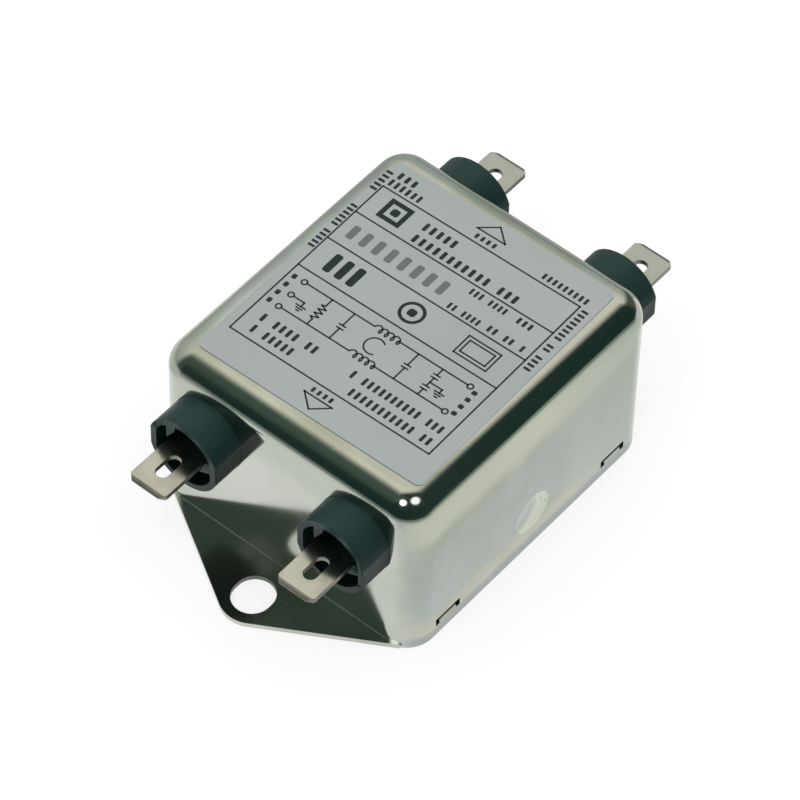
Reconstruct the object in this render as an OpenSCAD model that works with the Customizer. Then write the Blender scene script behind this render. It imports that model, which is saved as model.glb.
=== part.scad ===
// Single-phase EMI line filter in a drawn steel case.
// Millimetres, +Z up, +Y towards the line end, -Y towards the load end.
// Origin: centre of the base plate's underside.

/* [Case] */
// Case width across the side walls.
case_w = 45; // [38:0.5:60]
// Case length between the end walls.
case_l = 51; // [46:0.5:70]
// Height of the case top above the mounting surface.
case_h = 29.8; // [27:0.2:40]
// Sheet thickness of the drawn case.
case_t = 0.8; // [0.6:0.1:1.2]
// Outer radius where the walls roll over into the top.
edge_r = 4.1; // [2:0.1:6]
// Outer radius of the upright corners in plan.
corner_r = 4.6; // [4.2:0.1:7]
// Diameter of the locating dimple low on each side wall.
dimple_d = 7; // [3:0.5:10]
// Depth of the locating dimple.
dimple_depth = 0.35; // [0.1:0.05:0.6]
// Height of the dimple's centre.
dimple_z = 7; // [5:0.5:12]

/* [Latches] */
// Distance of each latch slot's centre from the middle of the side wall.
latch_y = 17.7; // [12:0.1:20]
// Length of a latch slot along the wall.
latch_slot_l = 5; // [3:0.1:6]
// Height of the lower edge of a latch slot.
latch_z = 1.9; // [1.4:0.1:4]
// Height of a latch slot.
latch_slot_h = 1.4; // [0.8:0.1:2]
// Width of the base plate's upright latch lug.
lug_w = 4.4; // [3:0.1:6]
// Height of the latch lug above the mounting surface.
lug_h = 5.2; // [4:0.1:8]
// Width of the nose pressed out of the lug.
nose_w = 3.4; // [2:0.1:5]

/* [Base plate] */
// Thickness of the base plate and its ears.
plate_t = 0.8; // [0.6:0.1:1.5]
// Distance of a mounting slot's centre from the end wall.
ear_reach = 6; // [5:0.1:12]
// Width of a mounting slot across the ear.
ear_slot_w = 5.9; // [3.5:0.1:7]
// Length of a mounting slot along the ear, end to end.
ear_slot_l = 6.5; // [4:0.1:9]
// Radius of the rounded tip of an ear.
ear_tip_r = 4.85; // [4:0.05:7]
// How far outside the case's corners the edges of an ear run past.
ear_margin = 0.2; // [0.05:0.05:0.5]

/* [Terminals] */
// Distance between the two terminals of one end.
term_pitch = 25.76; // [20:0.1:30]
// Height of the terminal centre line.
term_z = 19.7; // [17:0.1:24]
// Outer diameter of a bushing.
bush_d = 11.9; // [9:0.1:12.4]
// Width of a bushing across its two side flats.
bush_flat = 11.4; // [9:0.1:12.2]
// Chamfer round the bushing's outer end.
bush_edge = 0.2; // [0.05:0.05:0.4]
// How far a bushing stands out of the end wall.
bush_out = 5.25; // [3:0.05:8]
// Width of the ring wall round the bushing's mouth.
bush_rim = 0.95; // [0.6:0.05:1.6]
// Depth of the bushing's mouth.
bush_mouth = 3.4; // [1:0.1:5]
// Thickness of the bushing's flange behind the end wall.
flange_t = 1.6; // [1:0.1:2.5]
// Width of the bushing's flange.
flange_w = 9.8; // [8:0.1:12]
// How far the flange reaches below the bushing.
flange_drop = 1.75; // [1:0.05:3]
// Width of a quick-connect blade.
tab_w = 6.35; // [4.75:0.05:9.5]
// Thickness of a quick-connect blade.
tab_t = 0.8; // [0.5:0.1:1.2]
// How far the blade stands out of the bushing.
tab_out = 7.55; // [5:0.05:9]
// Corner cut at the blade's tip.
tab_cut = 0.85; // [0.4:0.05:1.5]
// Length of the thinned lead-in at the blade's tip.
tab_lead = 0.6; // [0.4:0.1:2]
// Width of the slot through the blade.
tab_slot_w = 2; // [1:0.1:3]
// Length of the slot through the blade.
tab_slot_l = 4.2; // [2:0.1:5]
// Distance of the slot's outer end from the blade's tip.
tab_slot_tip = 2.6; // [1.5:0.05:4]
// Length of the solder lug on the blade's inner end.
tail_l = 4.8; // [4.2:0.1:6]
// How far the solder lug reaches towards the middle of the case.
tail_in = 6.3; // [5.5:0.1:7]

/* [Label] */
// Width of the label film.
label_w = 37.8; // [30:0.2:44]
// Length of the label film.
label_l = 42.4; // [34:0.2:50]
// Thickness of the label film.
label_t = 0.12; // [0.05:0.01:0.3]
// Corner radius of the label film.
label_r = 1; // [0:0.1:3]
// How far the film is turned from square on the case.
label_turn = 1.26; // [-3:0.01:3]
// How far the film's middle is off the case's, across and along.
label_shift = [-0.1, 0.2]; // [-1:0.1:1]

/* [Choke] */
// Outer diameter of the ferrite ring.
core_d = 24; // [18:0.5:28]
// Bore of the ferrite ring.
core_bore = 14; // [10:0.5:16]
// Height of the ferrite ring.
core_h = 10; // [6:0.5:12]
// Edge rounding of the ferrite ring.
core_round = 0.8; // [0.3:0.1:1.5]
// Wall of the plastic ring case round the ferrite.
shell_t = 0.7; // [0.5:0.1:1.2]
// Diameter of the winding wire.
wire_d = 1.2; // [0.8:0.1:1.5]
// Turns on each winding.
turns = 9; // [5:1:10]
// Thickness of the divider between the windings.
divider_t = 0.8; // [0.5:0.1:1.5]

/* [Capacitors and resistor] */
// Length of the line-to-line capacitor box.
xcap_l = 18; // [16:0.5:26]
// Thickness of the line-to-line capacitor box.
xcap_t = 7; // [5:0.5:8]
// Height of the line-to-line capacitor box.
xcap_h = 10.6; // [8:0.1:11]
// Distance between the capacitor box's two leads.
xcap_pitch = 15; // [14.6:0.1:15.4]
// Diameter of the line-to-earth capacitor disc.
ycap_d = 8.8; // [7:0.1:10]
// Thickness of the line-to-earth capacitor disc.
ycap_t = 3.8; // [3:0.1:5]
// Length of the bleed resistor's body.
res_l = 6.8; // [5:0.1:8]
// Diameter of the bleed resistor's end caps.
res_d = 2.6; // [2:0.1:3.5]
// Diameter of the component leads.
lead_d = 0.7; // [0.5:0.05:0.8]
// Thickness of the insulating sheet on the base plate.
liner_t = 0.3; // [0.15:0.05:0.5]

/* [Fits] */
// Clearance all round a piece that drops into another.
fit = 0.05; // [0.02:0.01:0.1]
// Clearance round a lead in its hole.
lead_fit = 0.05; // [0.02:0.01:0.1]

/* [Hidden] */
$fn = 64;
lead_fn = 32;

// How far a cutting tool runs past what it cuts.
cut = 1;
// How far a boss bites into the sheet that it stands on.
bite = 0.2;
// Relief round the root of a bent lug.
relief = 0.4;

// Inner faces of the case.
in_x = case_w / 2 - case_t;
in_y = case_l / 2 - case_t;
in_z = case_h - case_t;
// Axes of the upright corners.
cor_x = case_w / 2 - corner_r;
cor_y = case_l / 2 - corner_r;
// Terminal positions.
term_x = term_pitch / 2;
bush_r = bush_d / 2;
bush_face = case_l / 2 + bush_out;
bush_back = in_y - flange_t;
mouth_r = bush_r - bush_rim;
mouth_flat = bush_flat - 2 * bush_rim;
flange_rise = 0.1;
// Keying webs in the mouth, as seen from outside, for a mouth of this radius.
web_mouth_r = 5;
upper_web = [[-2.85, 1.7], [-1.4, 3.9], [-1.2, 5.2], [-2.9, 4.8]];
side_web = [[2.5, -1.1], [5.2, 0.1], [5, 1.9], [4, 1.6]];
blade_tip = bush_face + tab_out;
tail_end = bush_back - tail_l;
tail_top = term_z + tab_t / 2;
// Ear outline: each straight edge is tangent to the rounded tip and to a round about a case corner.
ear_y = case_l / 2 + ear_reach;
ear_blend_r = corner_r + ear_margin;
ear_dist = norm([cor_x, ear_y - cor_y]);
ear_side = atan2(ear_y - cor_y, cor_x) + asin((ear_tip_r - ear_blend_r) / ear_dist);
ear_tan_x = ear_tip_r * sin(ear_side);
ear_tan_y = ear_y + ear_tip_r * cos(ear_side);
ear_root_x = cor_x + ear_blend_r * sin(ear_side);
ear_root_y = cor_y + ear_blend_r * cos(ear_side);
// Base plate half sizes inside the case.
plate_x = in_x - fit;
plate_y = in_y - fit;
plate_r = corner_r - case_t - fit;
bend_r = plate_t / 2;
lug_foot = 2;
// The latch nose rounds off from this share of its height up to a thin lip at its root.
nose_start = 0.3;
nose_lip = 0.1;
nose_steps = 6;
// Margins of the insulating sheet inside the plate: at the sides it stops short of the lugs' bends.
liner_set_x = bend_r + plate_t + 2 * fit;
liner_set_y = 0.9;
// Choke stack.
floor_z = plate_t + liner_t;
shell_gap = 0.1;
shell_od = core_d + 2 * (shell_gap + shell_t);
shell_id = core_bore - 2 * (shell_gap + shell_t);
shell_h = core_h + 2 * (shell_gap + shell_t);
shell_r = 0.8;
shell_z = floor_z + fit + wire_d + fit;
lid_skirt = 1.2;
lid_h = shell_t + lid_skirt;
divider_gap = 0.1;
core_z = shell_z + shell_t + shell_gap;
coil_z = shell_z + shell_h / 2;
coil_r = (shell_od + shell_id) / 4;
coil_a = (shell_od - shell_id) / 4 + wire_d / 2 + fit;
coil_b = shell_h / 2 + wire_d / 2 + fit;
coil_c = shell_r + wire_d / 2 + fit;
// Where the winding ends land on the solder lugs.
land_in = 2.9;
land_on = 1.2;
land_x = term_x - land_in;
land_y = tail_end + land_on;
land_r = sqrt(land_x * land_x + land_y * land_y);
land_a = atan2(land_y, land_x);
solder_gap = 0.02;
land_z = tail_top + wire_d / 2 + solder_gap;
// Capacitors: gaps to the end wall, between disc and box, and between the two discs.
xcap_gap = 0.3;
ycap_gap = 0.7;
disc_gap = 2.6;
xcap_y = in_y - xcap_gap - xcap_t / 2;
ycap_set = 1.6;
ycap_y = tail_end + ycap_set;
ycap_z = floor_z + xcap_h + ycap_gap + ycap_d / 2;
ycap_x = disc_gap / 2 + ycap_t / 2;
// Small leads lie on the solder lugs, this far from their inner edge and over their ends.
small_lead_on = 1.1;
small_lead_over = 1.6;
small_lead_y = tail_end + small_lead_on;
small_lead_x = term_x - tail_in + small_lead_over;
earth_gap = 0.45;
earth_y = xcap_y - xcap_t / 2 - lead_d / 2 - earth_gap;
// Box leads start inside the box and end in a stub above the solder lug.
lead_root = 0.5;
lead_stub = 0.6;
// Share of the cap's diameter that the resistor's body has, and each cap's length.
res_waist = 0.85;
res_cap_l = 1.8;

module at_terminal(side, end) {
    rotate([0, 0, end > 0 ? 180 : 0])
        translate([side * end * -term_x, 0, term_z])
            children();
}

// ---- case ----

// Section of a wall from the corner axis outwards, rolled over at the top.
module rim_section(reach, roll, low, high) {
    translate([0, low])
        square([reach, high - roll - low]);
    translate([0, high - roll])
        square([reach - roll, roll]);
    intersection() {
        translate([reach - roll, high - roll])
            circle(r = roll);
        translate([reach - roll, high - roll])
            square([roll, roll]);
    }
}

module wall_section() {
    difference() {
        rim_section(corner_r, edge_r, 0, case_h);
        rim_section(corner_r - case_t, edge_r - case_t, -cut, in_z);
    }
}

module straight_wall(length) {
    rotate([90, 0, 0])
        linear_extrude(height = length, center = true)
            wall_section();
}

module drawn_shell() {
    for (s = [-1, 1]) {
        translate([s * cor_x, 0, 0])
            rotate([0, 0, s > 0 ? 0 : 180])
                straight_wall(2 * cor_y);
        translate([0, s * cor_y, 0])
            rotate([0, 0, s * 90])
                straight_wall(2 * cor_x);
    }
    for (q = [0:3])
        translate([(q == 0 || q == 3 ? 1 : -1) * cor_x, (q < 2 ? 1 : -1) * cor_y, 0])
            rotate([0, 0, q * 90])
                rotate_extrude(angle = 90)
                    wall_section();
    translate([-cor_x, -cor_y, in_z])
        cube([2 * cor_x, 2 * cor_y, case_t]);
}

module ball_cap(r, depth, wide) {
    intersection() {
        translate([r - depth, 0, 0])
            sphere(r = r);
        translate([-depth - bite, 0, 0])
            rotate([0, 90, 0])
                cylinder(d = wide, h = depth + 2 * bite);
    }
}

// Round bar with two flats, standing on its end.
module barrel(r, flats, high) {
    intersection() {
        cylinder(r = r, h = high);
        translate([-flats / 2, -r - cut, -cut])
            cube([flats, 2 * (r + cut), high + 2 * cut]);
    }
}

module can() {
    dimple_r = (dimple_d * dimple_d / 4 + dimple_depth * dimple_depth) / (2 * dimple_depth);
    color([0.75, 0.76, 0.72])
    difference() {
        union() {
            drawn_shell();
            for (s = [0, 180])
                rotate([0, 0, s])
                    translate([in_x, 0, dimple_z])
                        ball_cap(dimple_r, dimple_depth, dimple_d + case_t);
        }
        for (s = [0, 180])
            rotate([0, 0, s])
                translate([case_w / 2, 0, dimple_z])
                    translate([dimple_r - dimple_depth, 0, 0])
                        sphere(r = dimple_r);
        for (s = [-1, 1], e = [-1, 1])
            translate([s * term_x, e * (in_y - cut), term_z])
                rotate([-90 * e, 0, 0])
                    barrel(bush_r + fit, bush_flat + 2 * fit, case_t + 2 * cut);
        for (e = [-1, 1])
            translate([-ear_root_x - 2 * fit, e > 0 ? cor_y - cut : -case_l / 2 - cut, -cut])
                cube([2 * ear_root_x + 4 * fit, corner_r + 2 * cut, cut + plate_t]);
        for (s = [-1, 1], e = [-1, 1])
            translate([s * (in_x + case_t / 2) - case_t, e * latch_y - latch_slot_l / 2, latch_z])
                cube([2 * case_t, latch_slot_l, latch_slot_h]);
    }
}

// ---- base plate ----

module rounded_rect(half_x, half_y, r) {
    square([2 * half_x, 2 * (half_y - r)], center = true);
    square([2 * (half_x - r), 2 * half_y], center = true);
    for (sx = [-1, 1], sy = [-1, 1])
        translate([sx * (half_x - r), sy * (half_y - r)])
            circle(r = r);
}

module ear_outline() {
    polygon([[-ear_root_x, cor_y], [ear_root_x, cor_y], [ear_root_x, ear_root_y], [ear_tan_x, ear_tan_y],
             [-ear_tan_x, ear_tan_y], [-ear_root_x, ear_root_y]]);
    translate([0, ear_y])
        circle(r = ear_tip_r);
}

module mounting_slot() {
    reach = (ear_slot_l - ear_slot_w) / 2;
    for (s = [-1, 1])
        translate([0, ear_y + s * reach, -cut])
            cylinder(d = ear_slot_w, h = plate_t + 2 * cut);
    translate([-ear_slot_w / 2, ear_y - reach, -cut])
        cube([ear_slot_w, 2 * reach, plate_t + 2 * cut]);
}

// Section of a bent-up lug: the plate rolls up through a right angle.
module lug_section() {
    out = bend_r + plate_t;
    translate([plate_x - out, out]) {
        intersection() {
            difference() {
                circle(r = out);
                circle(r = bend_r);
            }
            translate([0, -out])
                square([out, out]);
        }
        translate([bend_r, 0])
            square([plate_t, lug_h - out]);
    }
    translate([plate_x - out - lug_foot, 0])
        square([lug_foot, plate_t]);
}

// Section of the latch nose: upright below, rounded off towards its top.
module nose_section() {
    high = latch_slot_h - 2 * fit;
    curve = [for (i = [0 : nose_steps]) let (turn = 90 * i / nose_steps)
             [nose_lip + (case_t + fit - nose_lip) * cos(turn),
              high * (nose_start + (1 - nose_start) * sin(turn))]];
    polygon(concat([[-plate_t / 2, 0], [case_t + fit, 0]], curve, [[-plate_t / 2, high]]));
}

module latch_lug() {
    rotate([90, 0, 0])
        linear_extrude(height = lug_w, center = true)
            lug_section();
    translate([plate_x, 0, latch_z + fit])
        rotate([90, 0, 0])
            linear_extrude(height = nose_w, center = true)
                nose_section();
}

module base_plate() {
    notch = bend_r + plate_t + relief;
    color([0.74, 0.75, 0.70]) {
        difference() {
            linear_extrude(height = plate_t) {
                rounded_rect(plate_x, plate_y, plate_r);
                ear_outline();
                rotate(180)
                    ear_outline();
            }
            mounting_slot();
            rotate([0, 0, 180])
                mounting_slot();
            for (s = [-1, 1], e = [-1, 1])
                translate([s > 0 ? plate_x - notch : -plate_x - cut, e * latch_y - lug_w / 2 - relief, -cut])
                    cube([notch + cut, lug_w + 2 * relief, plate_t + 2 * cut]);
        }
        for (s = [0, 180], e = [-1, 1])
            rotate([0, 0, s])
                translate([0, e * latch_y, 0])
                    latch_lug();
    }
}

module liner() {
    color([0.86, 0.84, 0.72])
    difference() {
        translate([liner_set_x - plate_x, liner_set_y - plate_y, plate_t])
            cube([2 * (plate_x - liner_set_x), 2 * (plate_y - liner_set_y), liner_t]);
        for (s = [-1, 1])
            translate([s * ycap_x, -earth_y, plate_t - cut])
                cylinder(d = lead_d + 2 * lead_fit, h = liner_t + 2 * cut, $fn = lead_fn);
    }
}

module label() {
    color([0.69, 0.71, 0.72])
    translate([label_shift[0], label_shift[1], case_h])
        rotate([0, 0, label_turn])
            linear_extrude(height = label_t)
                rounded_rect(label_w / 2, label_l / 2, label_r);
}

// ---- terminals: drawn at the load end, blade towards -Y ----

module mouth_opening() {
    difference() {
        intersection() {
            circle(r = mouth_r);
            square([mouth_flat, 2 * mouth_r + cut], center = true);
        }
        for (web = [upper_web, side_web])
            polygon(mouth_r / web_mouth_r * web);
    }
}

// Barrel on the Y axis from the flange's back to the chamfered face.
module bushing_barrel() {
    rotate([90, 0, 0])
        intersection() {
            translate([0, 0, bush_back])
                barrel(bush_r, bush_flat, bush_face - bush_back);
            union() {
                translate([0, 0, bush_back])
                    cylinder(r = bush_r, h = bush_face - bush_back - bush_edge);
                translate([0, 0, bush_face - bush_edge])
                    cylinder(r1 = bush_r, r2 = bush_r - bush_edge, h = bush_edge);
            }
        }
}

module bushing() {
    low = bush_r + flange_drop;
    difference() {
        union() {
            bushing_barrel();
            translate([-flange_w / 2, -in_y, -low])
                cube([flange_w, flange_t, low + bush_r + flange_rise]);
        }
        translate([0, -bush_face + bush_mouth, 0])
            rotate([90, 0, 0])
                linear_extrude(height = bush_mouth + cut)
                    mouth_opening();
        translate([-tab_w / 2 - fit, -bush_face - cut, -tab_t / 2 - fit])
            cube([tab_w + 2 * fit, bush_face - bush_back + 2 * cut, tab_t + 2 * fit]);
    }
}

// Blade outline in plan; side says which way the solder lug reaches inwards.
module tab_outline(side) {
    half = tab_w / 2;
    polygon([[-half, -bush_back], [-half, tab_cut - blade_tip], [tab_cut - half, -blade_tip],
             [half - tab_cut, -blade_tip], [half, tab_cut - blade_tip], [half, -bush_back]]);
    translate([side > 0 ? -tail_in : -half, -bush_back])
        square([tail_in + half, tail_l]);
}

module tab_profile() {
    thin = tab_t / 4;
    polygon([[-blade_tip, -thin], [tab_lead - blade_tip, -tab_t / 2], [-tail_end, -tab_t / 2],
             [-tail_end, tab_t / 2], [tab_lead - blade_tip, tab_t / 2], [-blade_tip, thin]]);
}

module tab(side) {
    slot_r = tab_slot_w / 2;
    slot_mid = blade_tip - tab_slot_tip - tab_slot_l / 2;
    difference() {
        intersection() {
            translate([0, 0, -tab_t])
                linear_extrude(height = 2 * tab_t)
                    tab_outline(side);
            translate([-tail_in - cut, 0, 0])
                rotate([90, 0, 90])
                    linear_extrude(height = 2 * (tail_in + cut))
                        tab_profile();
        }
        for (s = [-1, 1])
            translate([0, -slot_mid + s * (tab_slot_l / 2 - slot_r), -cut])
                cylinder(r = slot_r, h = 2 * cut);
        translate([-slot_r, -slot_mid - tab_slot_l / 2 + slot_r, -cut])
            cube([tab_slot_w, tab_slot_l - tab_slot_w, 2 * cut]);
        translate([-side * (term_x - xcap_pitch / 2), -xcap_y, -cut])
            cylinder(d = lead_d + 2 * lead_fit, h = 2 * cut, $fn = lead_fn);
    }
}

module plastic() {
    color([0.14, 0.21, 0.22]) children();
}

module tinned() {
    color([0.76, 0.74, 0.66]) children();
}

module bushing_load_left() { plastic() at_terminal(-1, -1) bushing(); }
module bushing_load_right() { plastic() at_terminal(1, -1) bushing(); }
module bushing_line_left() { plastic() at_terminal(-1, 1) bushing(); }
module bushing_line_right() { plastic() at_terminal(1, 1) bushing(); }

module tab_load_left() { tinned() at_terminal(-1, -1) tab(-1); }
module tab_load_right() { tinned() at_terminal(1, -1) tab(1); }
module tab_line_left() { tinned() at_terminal(-1, 1) tab(1); }
module tab_line_right() { tinned() at_terminal(1, 1) tab(-1); }

// ---- common-mode choke ----

module ring_section(inner, outer, high, r) {
    translate([inner + r, 0])
        square([outer - inner - 2 * r, high]);
    translate([inner, r])
        square([outer - inner, high - 2 * r]);
    for (x = [inner + r, outer - r], y = [r, high - r])
        translate([x, y])
            circle(r = r);
}

module choke_core() {
    color([0.20, 0.20, 0.22])
    translate([0, 0, core_z])
        rotate_extrude()
            ring_section(core_bore / 2, core_d / 2, core_h, core_round);
}

module core_cup() {
    cup_h = shell_h - lid_h;
    color([0.16, 0.22, 0.20])
    translate([0, 0, shell_z])
        rotate_extrude()
            difference() {
                intersection() {
                    ring_section(shell_id / 2, shell_od / 2, shell_h, shell_r);
                    translate([shell_id / 2 - cut, 0])
                        square([(shell_od - shell_id) / 2 + 2 * cut, cup_h]);
                }
                translate([shell_id / 2 + shell_t, shell_t])
                    square([(shell_od - shell_id) / 2 - 2 * shell_t, cup_h]);
            }
}

module core_lid() {
    color([0.18, 0.25, 0.22])
    translate([0, 0, shell_z])
        rotate_extrude()
            difference() {
                intersection() {
                    ring_section(shell_id / 2, shell_od / 2, shell_h, shell_r);
                    translate([shell_id / 2 - cut, shell_h - lid_h])
                        square([(shell_od - shell_id) / 2 + 2 * cut, lid_h + cut]);
                }
                translate([shell_id / 2 + shell_t, shell_h - lid_h - cut])
                    square([(shell_od - shell_id) / 2 - 2 * shell_t, lid_h - shell_t + cut]);
            }
}

module core_divider() {
    color([0.85, 0.84, 0.78])
    translate([-divider_t / 2, divider_gap + fit - shell_id / 2, shell_z])
        cube([divider_t, shell_id - 2 * (fit + divider_gap), shell_h]);
}

// Winding path: over the top inwards, down the bore, out below, up the outside.
steps = 5;
per_turn = 4 * steps;
lead_steps = 7;
// How far the leads bow out, lift and run level on their way to the solder lugs.
lead_bow = 2.4;
lead_lift = 1.1;
lead_run = 4;
// Point of one loop round the ring's section, as [radius, height].
function loop_at(i) =
    let (q = floor(i / steps) % 4, f = i % steps, a = 90 * q + 90 * f / (steps - 1))
    [coil_r + (q == 0 || q == 3 ? 1 : -1) * (coil_a - coil_c) + coil_c * cos(a),
     coil_z + (q < 2 ? 1 : -1) * (coil_b - coil_c) + coil_c * sin(a)];
function bezier(a, b, c, d, t) =
    pow(1 - t, 3) * a + 3 * pow(1 - t, 2) * t * b + 3 * (1 - t) * t * t * c + t * t * t * d;
// Leads as [radius, height]. The first runs from the solder lug down onto the coil's top.
function lead_in(t) =
    bezier([land_r, land_z], [coil_r + coil_a + lead_bow, land_z + lead_lift],
           [coil_r + coil_a + lead_bow, coil_z + coil_b], [coil_r + coil_a - coil_c, coil_z + coil_b], t);
// The second leaves the coil's outside upwards and bends out to the solder lug.
function lead_out(t) =
    bezier([coil_r + coil_a, coil_z + coil_b - coil_c], [coil_r + coil_a, land_z - lead_lift],
           [land_r - lead_run, land_z], [land_r, land_z], t);
function in_space(p, a) = [p[0] * cos(a), p[0] * sin(a), p[1]];
first = steps - 1;
final = turns * per_turn;
function coil_angle(i) = land_a - 2 * land_a * (i - first) / (final - first);
coil_path = concat(
    [for (i = [0:lead_steps - 1]) [lead_in(i / lead_steps), land_a]],
    [for (i = [first:final]) [loop_at(i), coil_angle(i)]],
    [for (i = [1:lead_steps]) [lead_out(i / lead_steps), -land_a]]);
coil_points = [for (p = coil_path) in_space(p[0], p[1])];
coil_n = len(coil_points);
wire_sides = 8;
function unit(v) = v / norm(v);
function tangent(i) =
    unit(coil_points[min(i + 1, coil_n - 1)] - coil_points[max(i - 1, 0)]);
function side_dir(i) =
    let (a = coil_path[i][1], t = tangent(i), e = [-sin(a), cos(a), 0])
    unit(e - (e * t) * t);
function wire_ring(i) =
    let (u = side_dir(i), w = cross(tangent(i), u))
    [for (k = [0:wire_sides - 1])
        coil_points[i] + wire_d / 2 * (cos(360 * k / wire_sides) * u
                                       + sin(360 * k / wire_sides) * w)];

module winding() {
    rings = [for (i = [0:coil_n - 1]) each wire_ring(i)];
    last = (coil_n - 1) * wire_sides;
    quads = [for (i = [0:coil_n - 2], k = [0:wire_sides - 1])
        let (j = (k + 1) % wire_sides)
        [i * wire_sides + k, i * wire_sides + j,
         (i + 1) * wire_sides + j, (i + 1) * wire_sides + k]];
    tris = [for (q = quads) each [[q[2], q[1], q[0]], [q[3], q[2], q[0]]]];
    caps = [[for (k = [0:wire_sides - 1]) k],
            [for (k = [wire_sides - 1:-1:0]) last + k]];
    polyhedron(points = rings, faces = concat(tris, caps));
}

module winding_right() {
    color([0.72, 0.38, 0.18])
        winding();
}

module winding_left() {
    color([0.72, 0.38, 0.18])
        rotate([0, 0, 180])
            winding();
}

// ---- capacitors and resistor ----

module x_capacitor() {
    color([0.90, 0.72, 0.20])
    translate([-xcap_l / 2, -xcap_y - xcap_t / 2, floor_z])
        cube([xcap_l, xcap_t, xcap_h]);
    color([0.80, 0.80, 0.78])
    for (s = [-1, 1])
        translate([s * xcap_pitch / 2, -xcap_y, floor_z + xcap_h - lead_root])
            cylinder(d = lead_d, h = tail_top + lead_stub - floor_z - xcap_h + lead_root, $fn = lead_fn);
}

module x_capacitor_load() { x_capacitor(); }
module x_capacitor_line() { rotate([0, 0, 180]) x_capacitor(); }

module y_capacitor(side) {
    lead_z = tail_top + lead_d / 2;
    color([0.20, 0.36, 0.62])
    translate([side * ycap_x - ycap_t / 2, -ycap_y, ycap_z])
        rotate([0, 90, 0])
            cylinder(d = ycap_d, h = ycap_t);
    color([0.80, 0.80, 0.78]) {
        translate([side > 0 ? ycap_x : -small_lead_x, -small_lead_y, lead_z])
            rotate([0, 90, 0])
                cylinder(d = lead_d, h = small_lead_x - ycap_x, $fn = lead_fn);
        translate([side * ycap_x, -earth_y, plate_t])
            cylinder(d = lead_d, h = ycap_z - plate_t, $fn = lead_fn);
    }
}

module y_capacitor_left() { y_capacitor(-1); }
module y_capacitor_right() { y_capacitor(1); }

module bleed_resistor() {
    color([0.52, 0.66, 0.78])
    translate([0, small_lead_y, tail_top + lead_d / 2])
        rotate([0, 90, 0]) {
            cylinder(d = res_d * res_waist, h = res_l, center = true);
            for (s = [-1, 1])
                translate([0, 0, s * (res_l - res_cap_l) / 2])
                    cylinder(d = res_d, h = res_cap_l, center = true);
            cylinder(d = lead_d, h = 2 * small_lead_x, center = true, $fn = lead_fn);
        }
}

can();
base_plate();
liner();
label();
bushing_load_left();
bushing_load_right();
bushing_line_left();
bushing_line_right();
tab_load_left();
tab_load_right();
tab_line_left();
tab_line_right();
choke_core();
core_cup();
core_lid();
core_divider();
winding_left();
winding_right();
x_capacitor_load();
x_capacitor_line();
y_capacitor_left();
y_capacitor_right();
bleed_resistor();
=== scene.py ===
"""Single-phase EMI line filter: its finishes, label print, stage and camera.

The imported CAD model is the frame. The case, base plate, bushings, blades and label film are
modelled again here with finer rounds, and stand for their CAD nodes. The pieces inside the case
keep their CAD meshes and get finishes of their own. Sizes are in millimetres and become metres
on the bench.
"""
from __future__ import annotations

import logging
import math
from dataclasses import dataclass, field
from enum import Enum
from typing import Callable, Iterable, Sequence

import bpy
from mathutils import Matrix, Vector

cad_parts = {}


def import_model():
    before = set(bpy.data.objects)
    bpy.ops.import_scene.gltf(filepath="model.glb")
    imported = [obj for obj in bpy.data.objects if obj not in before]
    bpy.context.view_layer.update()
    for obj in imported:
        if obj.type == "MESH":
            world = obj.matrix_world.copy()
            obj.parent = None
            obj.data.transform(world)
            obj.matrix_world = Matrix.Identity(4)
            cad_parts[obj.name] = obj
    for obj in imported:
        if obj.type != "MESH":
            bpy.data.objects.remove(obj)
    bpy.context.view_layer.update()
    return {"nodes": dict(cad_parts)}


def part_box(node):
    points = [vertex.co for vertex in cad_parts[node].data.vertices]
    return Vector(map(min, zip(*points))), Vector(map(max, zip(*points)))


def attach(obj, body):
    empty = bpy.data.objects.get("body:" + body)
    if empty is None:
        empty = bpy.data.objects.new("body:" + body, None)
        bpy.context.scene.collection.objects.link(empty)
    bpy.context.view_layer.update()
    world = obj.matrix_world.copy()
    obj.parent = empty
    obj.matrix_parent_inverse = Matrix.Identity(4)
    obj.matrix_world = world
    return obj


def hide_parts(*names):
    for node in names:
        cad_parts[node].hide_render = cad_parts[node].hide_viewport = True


log = logging.getLogger("line_filter")

MM = 0.001
Colour = tuple[float, float, float]
Point = tuple[float, float, float]
Spot = tuple[float, float]


# ---------------------------------------------------------------- shader maths


@dataclass(frozen=True)
class Flow:
    """A value on its way through a material, so that maths on it reads as maths."""

    recipe: "Recipe"
    socket: bpy.types.NodeSocket

    def _math(self, operation: str, *values: "Flow | float") -> "Flow":
        """Adds one Math node.

        Args:
            operation: the Math node's operation.
            values: its inputs in order, this flow among them.

        Returns:
            The node's result.
        """
        inputs = dict(enumerate(values))
        return self.recipe.flow("ShaderNodeMath", {"operation": operation}, inputs)

    def __add__(self, other: "Flow | float") -> "Flow":
        """Sum."""
        return self._math("ADD", self, other)

    __radd__ = __add__

    def __sub__(self, other: "Flow | float") -> "Flow":
        """Difference."""
        return self._math("SUBTRACT", self, other)

    def __rsub__(self, other: float) -> "Flow":
        """A number less this flow."""
        return self._math("SUBTRACT", other, self)

    def __mul__(self, other: "Flow | float") -> "Flow":
        """Product."""
        return self._math("MULTIPLY", self, other)

    __rmul__ = __mul__

    def clamped(self) -> "Flow":
        """The flow held between 0 and 1."""
        return self.recipe.flow("ShaderNodeClamp", {}, {0: self})

    def ramp(self, low: float, high: float) -> "Flow":
        """A smooth step of this flow.

        Args:
            low: where the step begins.
            high: where it ends.

        Returns:
            A flow from 0 to 1.
        """
        return self.recipe.flow("ShaderNodeMapRange", {"interpolation_type": "SMOOTHSTEP"},
                                {0: self, 1: low, 2: high})


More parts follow.
